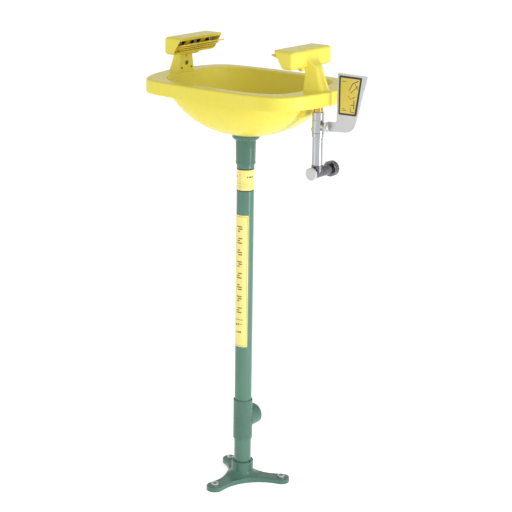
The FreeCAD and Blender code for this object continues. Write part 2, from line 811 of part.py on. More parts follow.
def fitting_body(through):
    """Brass tee (through) or elbow under the rim, with a socket for the crossover tube."""
    foot = vec(valve_x, 0, fitting_bottom)
    centre = vec(valve_x, 0, crossover_z)
    reach = fitting_r + fitting_inset
    body = rod(fitting_r, fitting_h, foot)
    body = body.fuse(rod(branch_r, reach, centre, Y)).removeSplitter()
    body = body.cut(rod(spout_r + thread_gap, fitting_top - spout_seat, vec(valve_x, 0, spout_seat)))
    body = body.cut(rod(fitting_bore_r, spout_seat - crossover_z + 3, centre - Z * 3))
    body = body.cut(rod(crossover_r - crossover_wall, reach, centre, Y))
    body = body.cut(rod(crossover_r + thread_gap, fitting_inset, centre + Y * fitting_r, Y))
    if through:
        body = body.cut(rod(nipple_r + thread_gap, tee_socket_in, foot))
        body = body.cut(rod(fitting_bore_r, fitting_h, foot))
    return body


def supply_tee():
    return fitting_body(True)


def crossover_elbow():
    return mirrored(fitting_body(False))


def crossover_tube():
    start = fitting_r + seat_gap
    points = [vec(valve_x, start, crossover_z), vec(valve_x, crossover_y, crossover_z),
              vec(-valve_x, crossover_y, crossover_z), vec(-valve_x, start, crossover_z)]
    return bent_tube(points, crossover_r, crossover_wall, crossover_corner)


def supply_nipple():
    low = valve_top - valve_socket
    high = fitting_bottom + tee_socket_in
    return ring(nipple_r, nipple_r - nipple_wall, high - low, vec(valve_x, 0, low))


# ---------------------------------------------------------------- stay-open ball valve
def valve_body():
    split = valve_split
    body = rod(valve_r, valve_top - split, vec(valve_x, 0, split))
    boss = rod(boss_r, boss_end, vec(valve_x, 0, stem_z), X)
    stub = rod(stub_r, valve_r + stub_out, vec(valve_x, 0, split + stub_r + 1), vec(-1, 0, 0))
    body = body.fuse(boss).fuse(stub).removeSplitter()
    body = body.cut(rod(ball_chamber_r, stem_z + chamber_half - split, vec(valve_x, 0, split)))
    body = body.cut(rod(valve_port_r, valve_top - stem_z, vec(valve_x, 0, stem_z)))
    body = body.cut(rod(nipple_r + thread_gap, valve_socket, vec(valve_x, 0, valve_top - valve_socket)))
    return body.cut(rod(stem_r + run_gap, boss_end + 1, vec(valve_x, 0, stem_z), X))


def valve_end_cap():
    cap = rod(valve_r, end_cap_h, vec(valve_x, 0, valve_bottom))
    spigot_top = stem_z - chamber_half
    cap = cap.fuse(rod(ball_chamber_r - thread_gap, spigot_top - valve_bottom, vec(valve_x, 0, valve_bottom)))
    return cap.removeSplitter().cut(rod(valve_port_r, 40, vec(valve_x, 0, valve_bottom - 1)))


def valve_seats():
    r = ball_chamber_r - thread_gap
    low = ring(r, valve_port_r, seat_ring_h, vec(valve_x, 0, stem_z - chamber_half))
    high = ring(r, valve_port_r, seat_ring_h, vec(valve_x, 0, stem_z + chamber_half - seat_ring_h))
    clear = Part.makeSphere(ball_r + run_gap, vec(valve_x, 0, stem_z))
    return Part.makeCompound([low.cut(clear), high.cut(clear)])


def valve_ball():
    ball = Part.makeSphere(ball_r, vec(valve_x, 0, stem_z))
    ball = ball.cut(rod(valve_port_r, 2 * ball_r + 2, vec(valve_x, -ball_r - 1, stem_z), Y))
    half = tang_thick / 2 + 0.2
    pole = valve_x + ball_r
    slot = block(pole - tang_deep - 0.1, pole + 1, -ball_r, ball_r, stem_z - half, stem_z + half)
    return ball.cut(slot)


def valve_stem():
    start = valve_x + ball_r + 0.2
    end = tab_x + flag_thick + handle_nut_h + 2
    half = tang_thick / 2
    stem = rod(stem_r, end - start, vec(start, 0, stem_z), X)
    tang = block(start - tang_deep, start, -tang_half, tang_half, stem_z - half, stem_z + half)
    return stem.fuse(tang).removeSplitter()


def packing_nut():
    x = valve_x + boss_end
    nut = hexagon(packing_across, packing_h, vec(x, 0, stem_z), X)
    return nut.cut(rod(stem_r + run_gap, packing_h, vec(x, 0, stem_z), X))


def flag_outline():
    """Straight left edge, leaning right edge, round lower corner, and a neck that blends to the tab."""
    y = flag_y
    left_x = flag_left_x
    right_x = left_x + flag_top_width
    low_x = left_x + flag_low_width
    top = stem_z + flag_rise
    bottom = stem_z - flag_dip
    neck_top = stem_z + flag_neck_rise
    tab_high = stem_z + tab_half_z
    corner = flag_corner
    arc = corner * 0.3
    top_left = vec(left_x, y, top - corner)
    top_left_b = vec(left_x + corner, y, top)
    top_right_b = vec(right_x - corner - 1, y, top)
    top_right = vec(right_x - 1, y, top - corner - 1)
    low_right = vec(low_x, y, stem_z + flag_low_rise)
    low = vec(left_x + flag_turn_width, y, bottom)
    neck_low = vec(tab_x, y, stem_z - tab_half_z)
    neck_high = vec(tab_x, y, tab_high)
    left = vec(left_x, y, neck_top)
    blend = vec(left_x - 2.5, y, (tab_high + neck_top) / 2 - 1.5)
    return Part.Wire([
        Part.makeLine(left, top_left),
        Part.Arc(top_left, vec(left_x + arc, y, top - arc), top_left_b).toShape(),
        Part.makeLine(top_left_b, top_right_b),
        Part.Arc(top_right_b, vec(right_x - arc - 0.4, y, top - arc - 0.4), top_right).toShape(),
        Part.makeLine(top_right, low_right),
        Part.Arc(low_right, vec(low_x - 6, y, bottom + 8), low).toShape(),
        Part.makeLine(low, neck_low),
        Part.makeLine(neck_low, neck_high),
        Part.Arc(neck_high, blend, left).toShape(),
    ])


def flag_handle():
    flag = Part.Face(flag_outline()).extrude(vec(0, flag_thick, 0))
    tab = block(tab_x, tab_x + flag_thick, -tab_half_y, flag_y + flag_thick,
                stem_z - tab_half_z, stem_z + tab_half_z)
    handle = flag.fuse(tab).removeSplitter()
    return handle.cut(rod(stem_r + thread_gap, flag_thick, vec(tab_x, 0, stem_z), X))


def handle_nut():
    at = vec(tab_x + flag_thick, 0, stem_z)
    nut = hexagon(handle_nut_across, handle_nut_h, at, X)
    return nut.cut(rod(stem_r + thread_gap, handle_nut_h, at, X))


def handle_sticker():
    y = flag_y - label_thick - bond_gap
    left = flag_left_x + sticker_inset
    top = stem_z + flag_rise - sticker_inset
    foot = stem_z + flag_neck_rise - 2
    points = [vec(left, y, foot), vec(left, y, top), vec(flag_left_x + flag_top_width - 14, y, top),
              vec(flag_left_x + flag_low_width + 2, y, foot + 1)]
    return prism(points, vec(0, label_thick, 0))


# ---------------------------------------------------------------- inlet
def regulator_tube():
    tube = rod(tube_r, tube_len, vec(valve_x, 0, tube_bottom))
    return tube.cut(rod(tube_bore_r, tube_len, vec(valve_x, 0, tube_bottom)))


def flow_regulator():
    """Rubber disc cartridge in the tube that steadies the flow."""
    z = valve_bottom - 2 * regulator_h
    return ring(tube_bore_r - seat_gap, regulator_bore_r, regulator_h, vec(valve_x, 0, z))


def inlet_body():
    run = rod(inlet_r, inlet_back - inlet_front, vec(valve_x, inlet_front, inlet_z), Y)
    neck = rod(collar_r, inlet_drop, vec(valve_x, 0, inlet_z))
    body = run.fuse(neck).removeSplitter()
    body = body.cut(rod(inlet_bore_r, inlet_drop + 1, vec(valve_x, 0, inlet_z)))
    mouth = vec(valve_x, inlet_front, inlet_z)
    body = body.cut(rod(strainer_chamber_r, inlet_back - inlet_front - 3, mouth, Y))
    return body.cut(rod(inlet_bore_r, inlet_back - inlet_front, mouth, Y))


def strainer_screen():
    at = vec(valve_x, inlet_front + 1, inlet_z)
    tube = ring(inlet_bore_r - 0.8, inlet_bore_r - 1.6, filter_len, at, Y)
    for i in range(4):
        for turn in (0, 90):
            spot = vec(valve_x, inlet_front + 12 + 10 * i, inlet_z)
            along = Z if turn else X
            tube = tube.cut(rod(1.2, 2 * inlet_bore_r, spot - along * inlet_bore_r, along))
    return tube


def strainer_cap():
    face = inlet_front
    cap = rod(cap_r, cap_h, vec(valve_x, face - cap_h, inlet_z), Y)
    cap = cap.makeFillet(cap_edge_r, [e for e in cap.Edges if e.BoundBox.YMax < face - cap_h + 0.1])
    plug = rod(strainer_chamber_r - 0.2, 0.8, vec(valve_x, face, inlet_z), Y)
    return cap.fuse(plug)


def inlet_union():
    face = vec(valve_x, inlet_back, inlet_z)
    nut = rod(union_r, union_h, face, Y)
    rims = [e for e in nut.Edges if e.BoundBox.YLength < 0.1]
    nut = nut.makeFillet(union_edge_r, rims)
    nut = nut.cut(rod(inlet_bore_r, union_h, face, Y))
    return nut.cut(rod(inlet_thread_r, inlet_thread_len, face + Y * (union_h - inlet_thread_len), Y))


# ---------------------------------------------------------------- output
def build():
    nodes = {
        "base_flange": base_flange(),
        "base_bushes": base_bushes(),
        "lower_nipple": lower_nipple(),
        "waste_tee": waste_tee(),
        "stand_pipe": stand_pipe(),
        "drain_sleeve": drain_sleeve(),
        "flange_gasket": flange_gasket(),
        "drain_tail": drain_tail(),
        "strainer_plate": strainer_plate(),
        "strainer_screw": strainer_screw(),
        "label_strip": label_strip(),
        "label_band": label_band(),
        "bowl": bowl(),
        "supply_tee": supply_tee(),
        "crossover_elbow": crossover_elbow(),
        "crossover_tube": crossover_tube(),
        "supply_nipple": supply_nipple(),
        "valve_body": valve_body(),
        "valve_end_cap": valve_end_cap(),
        "valve_seats": valve_seats(),
        "valve_ball": valve_ball(),
        "valve_stem": valve_stem(),
        "packing_nut": packing_nut(),
        "flag_handle": flag_handle(),
        "handle_nut": handle_nut(),
        "handle_sticker": handle_sticker(),
        "regulator_tube": regulator_tube(),
        "flow_regulator": flow_regulator(),
        "inlet_body": inlet_body(),
        "strainer_screen": strainer_screen(),
        "strainer_cap": strainer_cap(),
        "inlet_union": inlet_union(),
    }
    pairs = {
        "tower": tower(),
        "tower_cover": tower_cover(),
        "cover_screws": cover_screws(),
        "head_hood": head_hood(),
        "louvre_plate": louvre_plate(),
        "nozzles": nozzles(),
        "nozzle_screens": nozzle_screens(),
        "head_manifold": head_manifold(),
        "riser_tube": riser_tube(),
        "tower_nipple": tower_nipple(),
        "rim_locknut": rim_locknut(),
    }
    for name, shape in pairs.items():
        nodes[name + "_right"] = shape
        nodes[name + "_left"] = mirrored(shape)
    return nodes


os.makedirs("parts", exist_ok=True)
for node_name, node_shape in build().items():
    solids = len(node_shape.Solids)
    print(node_name, "solids", solids, "valid", node_shape.isValid(), "volume", round(node_shape.Volume, 1))
    node_shape.exportStep("parts/" + node_name + ".step")
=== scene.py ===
import math

import bmesh
import bpy
from mathutils import Matrix, Vector
from mathutils.geometry import interpolate_bezier


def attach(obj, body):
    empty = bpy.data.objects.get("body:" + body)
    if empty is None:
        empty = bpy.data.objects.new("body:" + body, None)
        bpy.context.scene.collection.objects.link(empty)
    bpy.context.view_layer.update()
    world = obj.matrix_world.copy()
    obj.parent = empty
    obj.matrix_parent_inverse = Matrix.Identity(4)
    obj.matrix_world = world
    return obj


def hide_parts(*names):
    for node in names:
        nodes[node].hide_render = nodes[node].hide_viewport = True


# eyewash station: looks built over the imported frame, sizes in mm until a piece is stored

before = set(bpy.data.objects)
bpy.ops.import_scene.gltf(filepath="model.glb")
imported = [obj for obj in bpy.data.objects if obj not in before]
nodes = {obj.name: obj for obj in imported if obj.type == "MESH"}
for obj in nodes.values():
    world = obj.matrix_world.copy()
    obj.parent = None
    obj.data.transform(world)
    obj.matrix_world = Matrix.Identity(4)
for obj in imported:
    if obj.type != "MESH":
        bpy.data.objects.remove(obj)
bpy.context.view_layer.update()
print("frame loaded:", len(nodes), "nodes")


# shader helpers
def newMaterial(name):
    mat = bpy.data.materials.new(name)
    mat.use_nodes = True
    tree = mat.node_tree
    coord = tree.nodes.new("ShaderNodeTexCoord")
    return mat, tree, tree.nodes["Principled BSDF"], coord


def noiseOn(tree, coord, scale, detail=4.0, stretch=(1, 1, 1)):
    mapping = tree.nodes.new("ShaderNodeMapping")
    mapping.inputs["Scale"].default_value = stretch
    tree.links.new(coord.outputs["Object"], mapping.inputs["Vector"])
    noise = tree.nodes.new("ShaderNodeTexNoise")
    noise.inputs["Scale"].default_value = scale
    noise.inputs["Detail"].default_value = detail
    tree.links.new(mapping.outputs["Vector"], noise.inputs["Vector"])
    return noise


def rampOn(tree, source, low, high):
    ramp = tree.nodes.new("ShaderNodeValToRGB")
    for element, (place, colour) in zip(ramp.color_ramp.elements, (low, high)):
        element.position = place
        element.color = colour
    tree.links.new(source, ramp.inputs["Fac"])
    return ramp


def rangeOn(tree, source, reads, gives):
    spread = tree.nodes.new("ShaderNodeMapRange")
    spread.inputs["From Min"].default_value, spread.inputs["From Max"].default_value = reads
    spread.inputs["To Min"].default_value, spread.inputs["To Max"].default_value = gives
    tree.links.new(source, spread.inputs["Value"])
    return spread


def bumpOn(tree, shader, source, strength, distance):
    bump = tree.nodes.new("ShaderNodeBump")
    bump.inputs["Strength"].default_value = strength
    bump.inputs["Distance"].default_value = distance
    tree.links.new(source, bump.inputs["Height"])
    tree.links.new(bump.outputs["Normal"], shader.inputs["Normal"])


def edgeMask(tree, coord, reach):
    # 1 along worn edges, 0 on open faces, broken up by a noise
    bevel = tree.nodes.new("ShaderNodeBevel")
    bevel.samples = 4
    bevel.inputs["Radius"].default_value = reach
    surface = tree.nodes.new("ShaderNodeNewGeometry")
    turn = tree.nodes.new("ShaderNodeVectorMath")
    turn.operation = "DOT_PRODUCT"
    tree.links.new(bevel.outputs["Normal"], turn.inputs[0])
    tree.links.new(surface.outputs["Normal"], turn.inputs[1])
    edge = rangeOn(tree, turn.outputs["Value"], (0.82, 0.99), (1.0, 0.0))
    patch = rangeOn(tree, noiseOn(tree, coord, 130.0, 5.0).outputs["Fac"], (0.4, 0.6), (0.15, 1.0))
    both = tree.nodes.new("ShaderNodeMath")
    both.operation = "MULTIPLY"
    tree.links.new(edge.outputs["Result"], both.inputs[0])
    tree.links.new(patch.outputs["Result"], both.inputs[1])
    return both


def shade(colour, factor):
    return tuple(min(1.0, c * factor) for c in colour[:3]) + (1.0,)


# one entry per finish: colour, its spread, roughness range, grain size and height, metal, brightness of worn
# edges, stretch of the grain, and the strength of the sheen where it is not the usual 0.5
finishes = {
    "yellowAbs": {"colour": (0.80, 0.70, 0.095), "vary": 0.03, "rough": (0.26, 0.31), "grain": 500,
                  "height": 0.000006, "metal": 0.0, "wear": 1.12, "stretch": (1, 1, 1), "shine": 0.22},
    # the louvre plate's yellow is the body yellow made darker and more orange: painted shade for the plate
    # inside the hood's mouth
    "yellowLouvre": {"colour": (0.80, 0.63, 0.055), "vary": 0.05, "rough": (0.30, 0.40), "grain": 700,
                     "height": 0.00001, "metal": 0.0, "wear": 1.15, "stretch": (1, 1, 1)},
    "greenPipe": {"colour": (0.085, 0.205, 0.150), "vary": 0.07, "rough": (0.16, 0.26), "grain": 420,
                  "height": 0.00002, "metal": 0.0, "wear": 1.5, "stretch": (1, 1, 0.5)},
    "greenCast": {"colour": (0.070, 0.176, 0.130), "vary": 0.12, "rough": (0.22, 0.36), "grain": 320,
                  "height": 0.00004, "metal": 0.0, "wear": 1.7, "stretch": (1, 1, 1)},
    "chrome": {"colour": (0.46, 0.47, 0.49), "vary": 0.03, "rough": (0.05, 0.12), "grain": 300,
               "height": 0.000006, "metal": 1.0, "wear": 0.85, "stretch": (1, 1, 0.4)},
    # chrome darkened for the inlet that sits under the bowl: painted shade; the inlet's own nodes take the
    # plain chrome
    "darkChrome": {"colour": (0.17, 0.17, 0.18), "vary": 0.08, "rough": (0.06, 0.14), "grain": 300,
                   "height": 0.000006, "metal": 1.0, "wear": 1.8, "stretch": (1, 0.4, 1)},
    "flagSteel": {"colour": (0.54, 0.55, 0.57), "vary": 0.03, "rough": (0.34, 0.46), "grain": 90,
                  "height": 0.00001, "metal": 0.25, "wear": 1.15, "stretch": (1, 1, 22)},
    "steel": {"colour": (0.52, 0.52, 0.53), "vary": 0.05, "rough": (0.30, 0.42), "grain": 90,
              "height": 0.00001, "metal": 1.0, "wear": 1.15, "stretch": (1, 1, 22)},
    "screwSteel": {"colour": (0.20, 0.18, 0.15), "vary": 0.15, "rough": (0.30, 0.45), "grain": 600,
                   "height": 0.00001, "metal": 1.0, "wear": 1.6, "stretch": (1, 1, 1)},
    "zinc": {"colour": (0.72, 0.71, 0.68), "vary": 0.10, "rough": (0.25, 0.45), "grain": 700,
             "height": 0.00003, "metal": 1.0, "wear": 1.2, "stretch": (1, 1, 1)},
    "brass": {"colour": (0.56, 0.33, 0.12), "vary": 0.16, "rough": (0.18, 0.34), "grain": 500,
              "height": 0.00002, "metal": 1.0, "wear": 1.3, "stretch": (1, 1, 1)},
    "copper": {"colour": (0.62, 0.30, 0.17), "vary": 0.15, "rough": (0.2, 0.4), "grain": 400,
               "height": 0.00002, "metal": 1.0, "wear": 1.2, "stretch": (1, 1, 1)},
    "rubber": {"colour": (0.022, 0.021, 0.020), "vary": 0.25, "rough": (0.55, 0.8), "grain": 1300,
               "height": 0.00005, "metal": 0.0, "wear": 2.0, "stretch": (1, 1, 1)},
    "ptfe": {"colour": (0.80, 0.80, 0.78), "vary": 0.03, "rough": (0.4, 0.5), "grain": 700,
             "height": 0.00001, "metal": 0.0, "wear": 0.9, "stretch": (1, 1, 1)},
    "labelPaper": {"colour": (0.86, 0.76, 0.24), "vary": 0.03, "rough": (0.34, 0.46), "grain": 1500,
                   "height": 0.000004, "metal": 0.0, "wear": 1.05, "stretch": (1, 1, 1)},
    "stickerYellow": {"colour": (0.66, 0.52, 0.075), "vary": 0.06, "rough": (0.32, 0.44), "grain": 1500,
                      "height": 0.000004, "metal": 0.0, "wear": 1.05, "stretch": (1, 1, 1)},
    # the darkest print, on labels and sticker, also laid as the painted shade of the drip holes
    "printDark": {"colour": (0.030, 0.027, 0.024), "vary": 0.2, "rough": (0.35, 0.5), "grain": 1500,
                  "height": 0.000003, "metal": 0.0, "wear": 1.6, "stretch": (1, 1, 1)},
    "printBrown": {"colour": (0.20, 0.12, 0.045), "vary": 0.15, "rough": (0.4, 0.55), "grain": 1500,
                   "height": 0.000003, "metal": 0.0, "wear": 1.3, "stretch": (1, 1, 1)},
    "printTan": {"colour": (0.50, 0.36, 0.15), "vary": 0.08, "rough": (0.4, 0.55), "grain": 1500,
                 "height": 0.000003, "metal": 0.0, "wear": 1.1, "stretch": (1, 1, 1)},
}


def makeFinish(name, values):
    mat, tree, shader, coord = newMaterial(name)
    colour = values["colour"]
    slow = noiseOn(tree, coord, 9.0, 3.0)
    tint = rampOn(tree, slow.outputs["Fac"], (0.3, shade(colour, 1 - values["vary"])),
                  (0.7, shade(colour, 1 + values["vary"] * 0.6)))
    worn = edgeMask(tree, coord, 0.0012)
    mix = tree.nodes.new("ShaderNodeMix")
    mix.data_type = "RGBA"
    mix.inputs["B"].default_value = shade(colour, values["wear"])
    tree.links.new(worn.outputs["Value"], mix.inputs["Factor"])
    tree.links.new(tint.outputs["Color"], mix.inputs["A"])
    tree.links.new(mix.outputs["Result"], shader.inputs["Base Color"])
    smear = noiseOn(tree, coord, 38.0, 6.0, (1, 1, 0.45))
    gloss = rangeOn(tree, smear.outputs["Fac"], (0.3, 0.7), values["rough"])
    tree.links.new(gloss.outputs["Result"], shader.inputs["Roughness"])
    grain = noiseOn(tree, coord, values["grain"], 3.0, values["stretch"])
    bumpOn(tree, shader, grain.outputs["Fac"], 0.6, values["height"])
    shader.inputs["Metallic"].default_value = values["metal"]
    shader.inputs["Specular IOR Level"].default_value = values.get("shine", 0.5)
    return mat


mats = {name: makeFinish(name, values) for name, values in finishes.items()}
print("materials:", len(mats))


# geometry helpers: rings of places are grown into each other, and flat outlines are pushed out
def loopEdges(bm, ring):
    return [bm.edges.get((a, b)) for a, b in zip(ring, ring[1:] + ring[:1])]


def placeRing(bm, points):
    ring = bmesh.ops.create_circle(bm, segments=len(points), radius=1.0)["verts"]
    for vert, place in zip(ring, points):
        vert.co = place
    return ring


def nextRing(bm, ring, points):
    grown = bmesh.ops.extrude_edge_only(bm, edges=loopEdges(bm, ring))["geom"]
    fresh = {item for item in grown if isinstance(item, bmesh.types.BMVert)}
    follow = [next(e.other_vert(v) for e in v.link_edges if e.other_vert(v) in fresh) for v in ring]
    for vert, place in zip(follow, points):
        vert.co = place
    return follow


def loft(bm, rings, wrap=False, caps=False):
    first = ring = placeRing(bm, rings[0])
    for points in rings[1:]:
        ring = nextRing(bm, ring, points)
    if wrap:
        bmesh.ops.bridge_loops(bm, edges=loopEdges(bm, first) + loopEdges(bm, ring))
    if caps:
        bmesh.ops.contextual_create(bm, geom=loopEdges(bm, first))
        bmesh.ops.contextual_create(bm, geom=loopEdges(bm, ring))


def softCorners(points, radii, closed=False, segments=3):
    # each corner of a path becomes a short arc; radii is one value or one per corner
    points = [Vector(p) for p in points]
    count = len(points)
    if not isinstance(radii, (list, tuple)):
        radii = [radii] * count
    out = [] if closed else [points[0]]
    for i in range(count) if closed else range(1, count - 1):
        corner = points[i]
        back = points[i - 1] - corner
        ahead = points[(i + 1) % count] - corner
        reach = min(radii[i], back.length * 0.48, ahead.length * 0.48)
        enter = corner + back.normalized() * reach
        leave = corner + ahead.normalized() * reach
        for k in range(segments + 1):
            t = k / segments
            pull = enter.lerp(corner, t)
            out.append(pull.lerp(corner.lerp(leave, t), t))
    return out if closed else out + [points[-1]]


def turned(bm, profile, at, axis, soft=0.6, closed=False, steps=96):
    # profile: radius and height pairs; closed for a ring or a tube
    axis = Vector(axis)
    side = axis.orthogonal().normalized()
    path = softCorners(profile, soft, closed)
    if closed:
        path.append(path[0])
    places = [Vector(at) + side * p.x + axis * p.y for p in path]
    tip = bmesh.ops.create_vert(bm, co=places[0])["vert"][0]
    geom = [tip]
    for place in places[1:]:
        grown = bmesh.ops.extrude_vert_indiv(bm, verts=[tip])
        tip = grown["verts"][0]
        tip.co = place
        geom += [tip] + grown["edges"]
    bmesh.ops.spin(bm, geom=geom, cent=at, axis=axis, angle=math.tau, steps=steps, use_merge=True)


def bevelSharp(bm, verts, offset, segments=3, angle=0.6):
    inside = set(verts)
    bm.normal_update()
    edges = [e for e in bm.edges if e.verts[0] in inside and e.verts[1] in inside
             and len(e.link_faces) == 2 and e.calc_face_angle(0) > angle]
    bmesh.ops.bevel(bm, geom=edges, offset=offset, affect="EDGES", segments=segments, profile=0.5,
                    material=-1, clamp_overlap=True)


def prism(bm, outline, push, edge=0.0, segments=3):
    # flat outline pushed out into a solid, its edges bevelled
    ring = placeRing(bm, outline)
    far = nextRing(bm, ring, [v.co + Vector(push) for v in ring])
    caps = [bmesh.ops.contextual_create(bm, geom=loopEdges(bm, ring))["faces"][0],
            bmesh.ops.contextual_create(bm, geom=loopEdges(bm, far))["faces"][0]]
    skirt = list({f for v in ring for f in v.link_faces} | set(caps))
    bmesh.ops.recalc_face_normals(bm, faces=skirt)
    if edge:
        bevelSharp(bm, ring + far, edge, segments)
    return ring + far


def hexagon(across, at, axis):
    axis = Vector(axis)
    side = axis.orthogonal().normalized()
    reach = across / math.sqrt(3)
    return [Vector(at) + Matrix.Rotation(math.tau * i / 6, 3, axis) @ side * reach for i in range(6)]


def store(name, bm, finish, replaced=(), body="station", mirrored=False, sharp=32):
    size = 0.001
    bmesh.ops.scale(bm, vec=(-size if mirrored else size, size, size), verts=bm.verts)
    bmesh.ops.remove_doubles(bm, verts=bm.verts, dist=0.000005)
    bmesh.ops.recalc_face_normals(bm, faces=bm.faces)
    mesh = bpy.data.meshes.new(name)
    bm.to_mesh(mesh)
    bm.free()
    mesh.shade_smooth()
    mesh.set_sharp_from_angle(angle=math.radians(sharp))
    for part in finish.split():
        mesh.materials.append(mats[part])
    piece = bpy.data.objects.new(name, mesh)
    bpy.context.scene.collection.objects.link(piece)
    even = piece.modifiers.new("evenNormals", "WEIGHTED_NORMAL")
    even.keep_sharp = True
    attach(piece, body)
    if replaced:
        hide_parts(*replaced)
    return piece


# bowl
bowlSize = {"top": 1015, "skirt": 33, "wall": 4, "edge": 4.5, "halfX": 239.92, "halfY": 171.42, "bowX": 45,
            "bowY": 12, "corner": 14, "centreY": 10, "openX": 186, "openY": 144, "flat": 34, "depth": 126,
            "curve": 1.9, "square": 4.0, "round": 2.4, "drain": 17.4, "steps": 192, "lip": 4.0, "draft": 0.5}


padSize = {"levels": (946, 970, 990, 1009), "low": 950, "high": 1009, "inner": 152, "lean": 0.24,
           "outer": 183, "heel": 956, "toe": 172, "toeZ": 947, "front": -16, "deep": 62, "edge": 4.0}


def bowlTurn(i, halfX, halfY):
    angle = math.tau * i / bowlSize["steps"]
    return Vector((halfX * math.cos(angle), halfY * math.sin(angle)))


def rimRing(inset, z):
    v = bowlSize
    hx, hy = v["halfX"] - inset, v["halfY"] - inset
    cx, cy = hx - v["bowX"], hy - v["bowY"]
    rx = (cy ** 2 + v["bowX"] ** 2) / (2 * v["bowX"])
    ry = (cx ** 2 + v["bowY"] ** 2) / (2 * v["bowY"])
    kx, ky = hx - rx, hy - ry
    points = []
    for i in range(v["steps"]):
        aim = bowlTurn(i, hx, hy).normalized()
        c, s = abs(aim.x), abs(aim.y)
        side = c * kx + math.sqrt(rx ** 2 - (kx * s) ** 2)
        front = s * ky + math.sqrt(ry ** 2 - (ky * c) ** 2)
        reach = (side ** -v["corner"] + front ** -v["corner"]) ** (-1 / v["corner"])
        points.append(Vector((aim.x * reach, v["centreY"] + aim.y * reach, z)))
    return points


def basinRing(down, inset, grow=0.0, z=None):
    # down: 0 at the opening, 1 at the floor
    v = bowlSize
    share = math.sin(down * math.pi / 2) ** (2 / v["curve"])
    spread = math.cos(down * math.pi / 2) ** (2 / v["curve"])
    flat = v["flat"] - inset
    hx = flat + (v["openX"] - inset - flat) * spread + grow
    hy = flat + (v["openY"] - inset - flat) * spread + grow
    power = v["square"] + (v["round"] - v["square"]) * share
    level = v["top"] - (v["depth"] - inset) * share if z is None else z
    points = []
    for i in range(v["steps"]):
        angle = math.tau * i / v["steps"]
        c, s = math.cos(angle), math.sin(angle)
        size = (abs(c) ** power + abs(s) ** power) ** (-1 / power)
        points.append(Vector((hx * size * c, v["centreY"] * spread + hy * size * s, level)))
    return points


def circleRing(r, z, steps):
    return [Vector((r * math.cos(math.tau * i / steps), r * math.sin(math.tau * i / steps), z))
            for i in range(steps)]


def mixRings(a, b, share):
    return [p.lerp(q, share) for p, q in zip(a, b)]


def makeBowl():
    v = bowlSize
    top, wall, edge = v["top"], v["wall"], v["edge"]
    foot = top - v["skirt"]
    outer = top - wall
    rings = [circleRing(v["drain"], top - v["depth"], v["steps"])]
    rings += [basinRing(1 - 0.94 * i / 30, 0) for i in range(31)]
    rings += [basinRing(0.03, 0, 1.0, outer - 1.2), basinRing(0.03, 0, 3.5, outer)]
    rings += [rimRing(wall + 3, outer), rimRing(wall + 0.8, outer - 0.8), rimRing(wall, outer - 3)]
    rings += [rimRing(wall, foot + 1.6), rimRing(wall - 0.6, foot + 0.4), rimRing(wall / 2, foot)]
    rings += [rimRing(0.6, foot + 0.4), rimRing(0, foot + 1.6), rimRing(0.2, foot + 12)]
    for i in range(6):
        turn = math.pi / 2 * i / 5
        rings.append(rimRing(v["draft"] + edge * (1 - math.cos(turn)), top - edge + edge * math.sin(turn)))
    lip = basinRing(0, wall, v["lip"])
    land = rimRing(v["draft"] + edge + 1, top)
    rings += [land, mixRings(land, lip, 0.35), mixRings(land, lip, 0.7)]
    for i in range(5):
        turn = math.pi / 2 * i / 4
        rings.append(basinRing(0, wall, v["lip"] * (1 - math.sin(turn)),
                               top - v["lip"] * (1 - math.cos(turn))))
    rings += [basinRing(0.03 + 0.97 * i / 32, wall) for i in range(33)]
    rings.append(circleRing(v["drain"], top - v["depth"] + wall, v["steps"]))
    bm = bmesh.new()
    loft(bm, rings, wrap=True)
    pad = padSize
    inner = [(pad["inner"] + pad["lean"] * (z - pad["low"]), z) for z in pad["levels"]]
    side = inner + [(pad["outer"], pad["high"]), (pad["outer"], pad["heel"]), (pad["toe"], pad["toeZ"])]
    prism(bm, [(x, pad["front"], z) for x, z in side], (0, pad["deep"], 0), pad["edge"], 4)
    store("bowlShell", bm, "yellowAbs", ["bowl"], sharp=40)
    print("bowl built")


# posts
postSize = {"inner": 184, "foot": 1015, "baseX": 228, "neckX": 213, "neckZ": 1060, "joinX": 188.3,
            "joinZ": 1098, "half": 29, "lean": 0.15, "taper": 0.30, "corner": 7.5, "innerCorner": 1.2,
            "fillet": 3.5, "bulges": ((210.5, 1080), (188.3, 1074)), "flare": 14.0, "flarePower": 2.2}


def postRing(x1, z, flare=0.0, grow=0.0):
    v = postSize
    near = v["half"] - v["lean"] * (z - v["foot"]) + grow + flare
    far = near - v["taper"] * (x1 - v["inner"])
    reach = min(v["corner"], (x1 - v["inner"]) * 0.4)
    corners = [(v["inner"], -near, z), (x1 + grow, -far, z), (x1 + grow, far, z), (v["inner"], near, z)]
    return softCorners(corners, [v["innerCorner"], reach, reach, v["innerCorner"]], True, 8)


def makePost(word, mirrored):
    v = postSize
    rings = []
    for i in range(5):
        turn = math.pi / 2 * i / 4
        rings.append(postRing(v["baseX"], v["foot"] + v["fillet"] * (1 - math.cos(turn)),
                              grow=v["fillet"] * (1 - math.sin(turn))))
    slope = (v["neckX"] - v["baseX"]) / (v["neckZ"] - v["foot"])
    rings += [postRing(v["baseX"] + slope * z, v["foot"] + z) for z in (8, 18, 28, 38)]
    knots = [Vector((x, z, 0)) for x, z in ((v["neckX"], v["neckZ"]), *v["bulges"], (v["joinX"], v["joinZ"]))]
    for spot in interpolate_bezier(*knots, 16):
        rise = max(0.0, (spot.y - v["neckZ"]) / (v["joinZ"] - v["neckZ"]))
        rings.append(postRing(spot.x, spot.y, flare=v["flare"] * rise ** v["flarePower"]))
    bm = bmesh.new()
    loft(bm, rings, caps=True)
    store("post" + word, bm, "yellowAbs", ["tower" + word], mirrored=mirrored, sharp=50)


coverSize = {"front": 183.7, "back": 187, "low": 1018.5, "high": 1061.5, "margin": 3.6, "hole": 2.0,
             "holeZ": 1054}


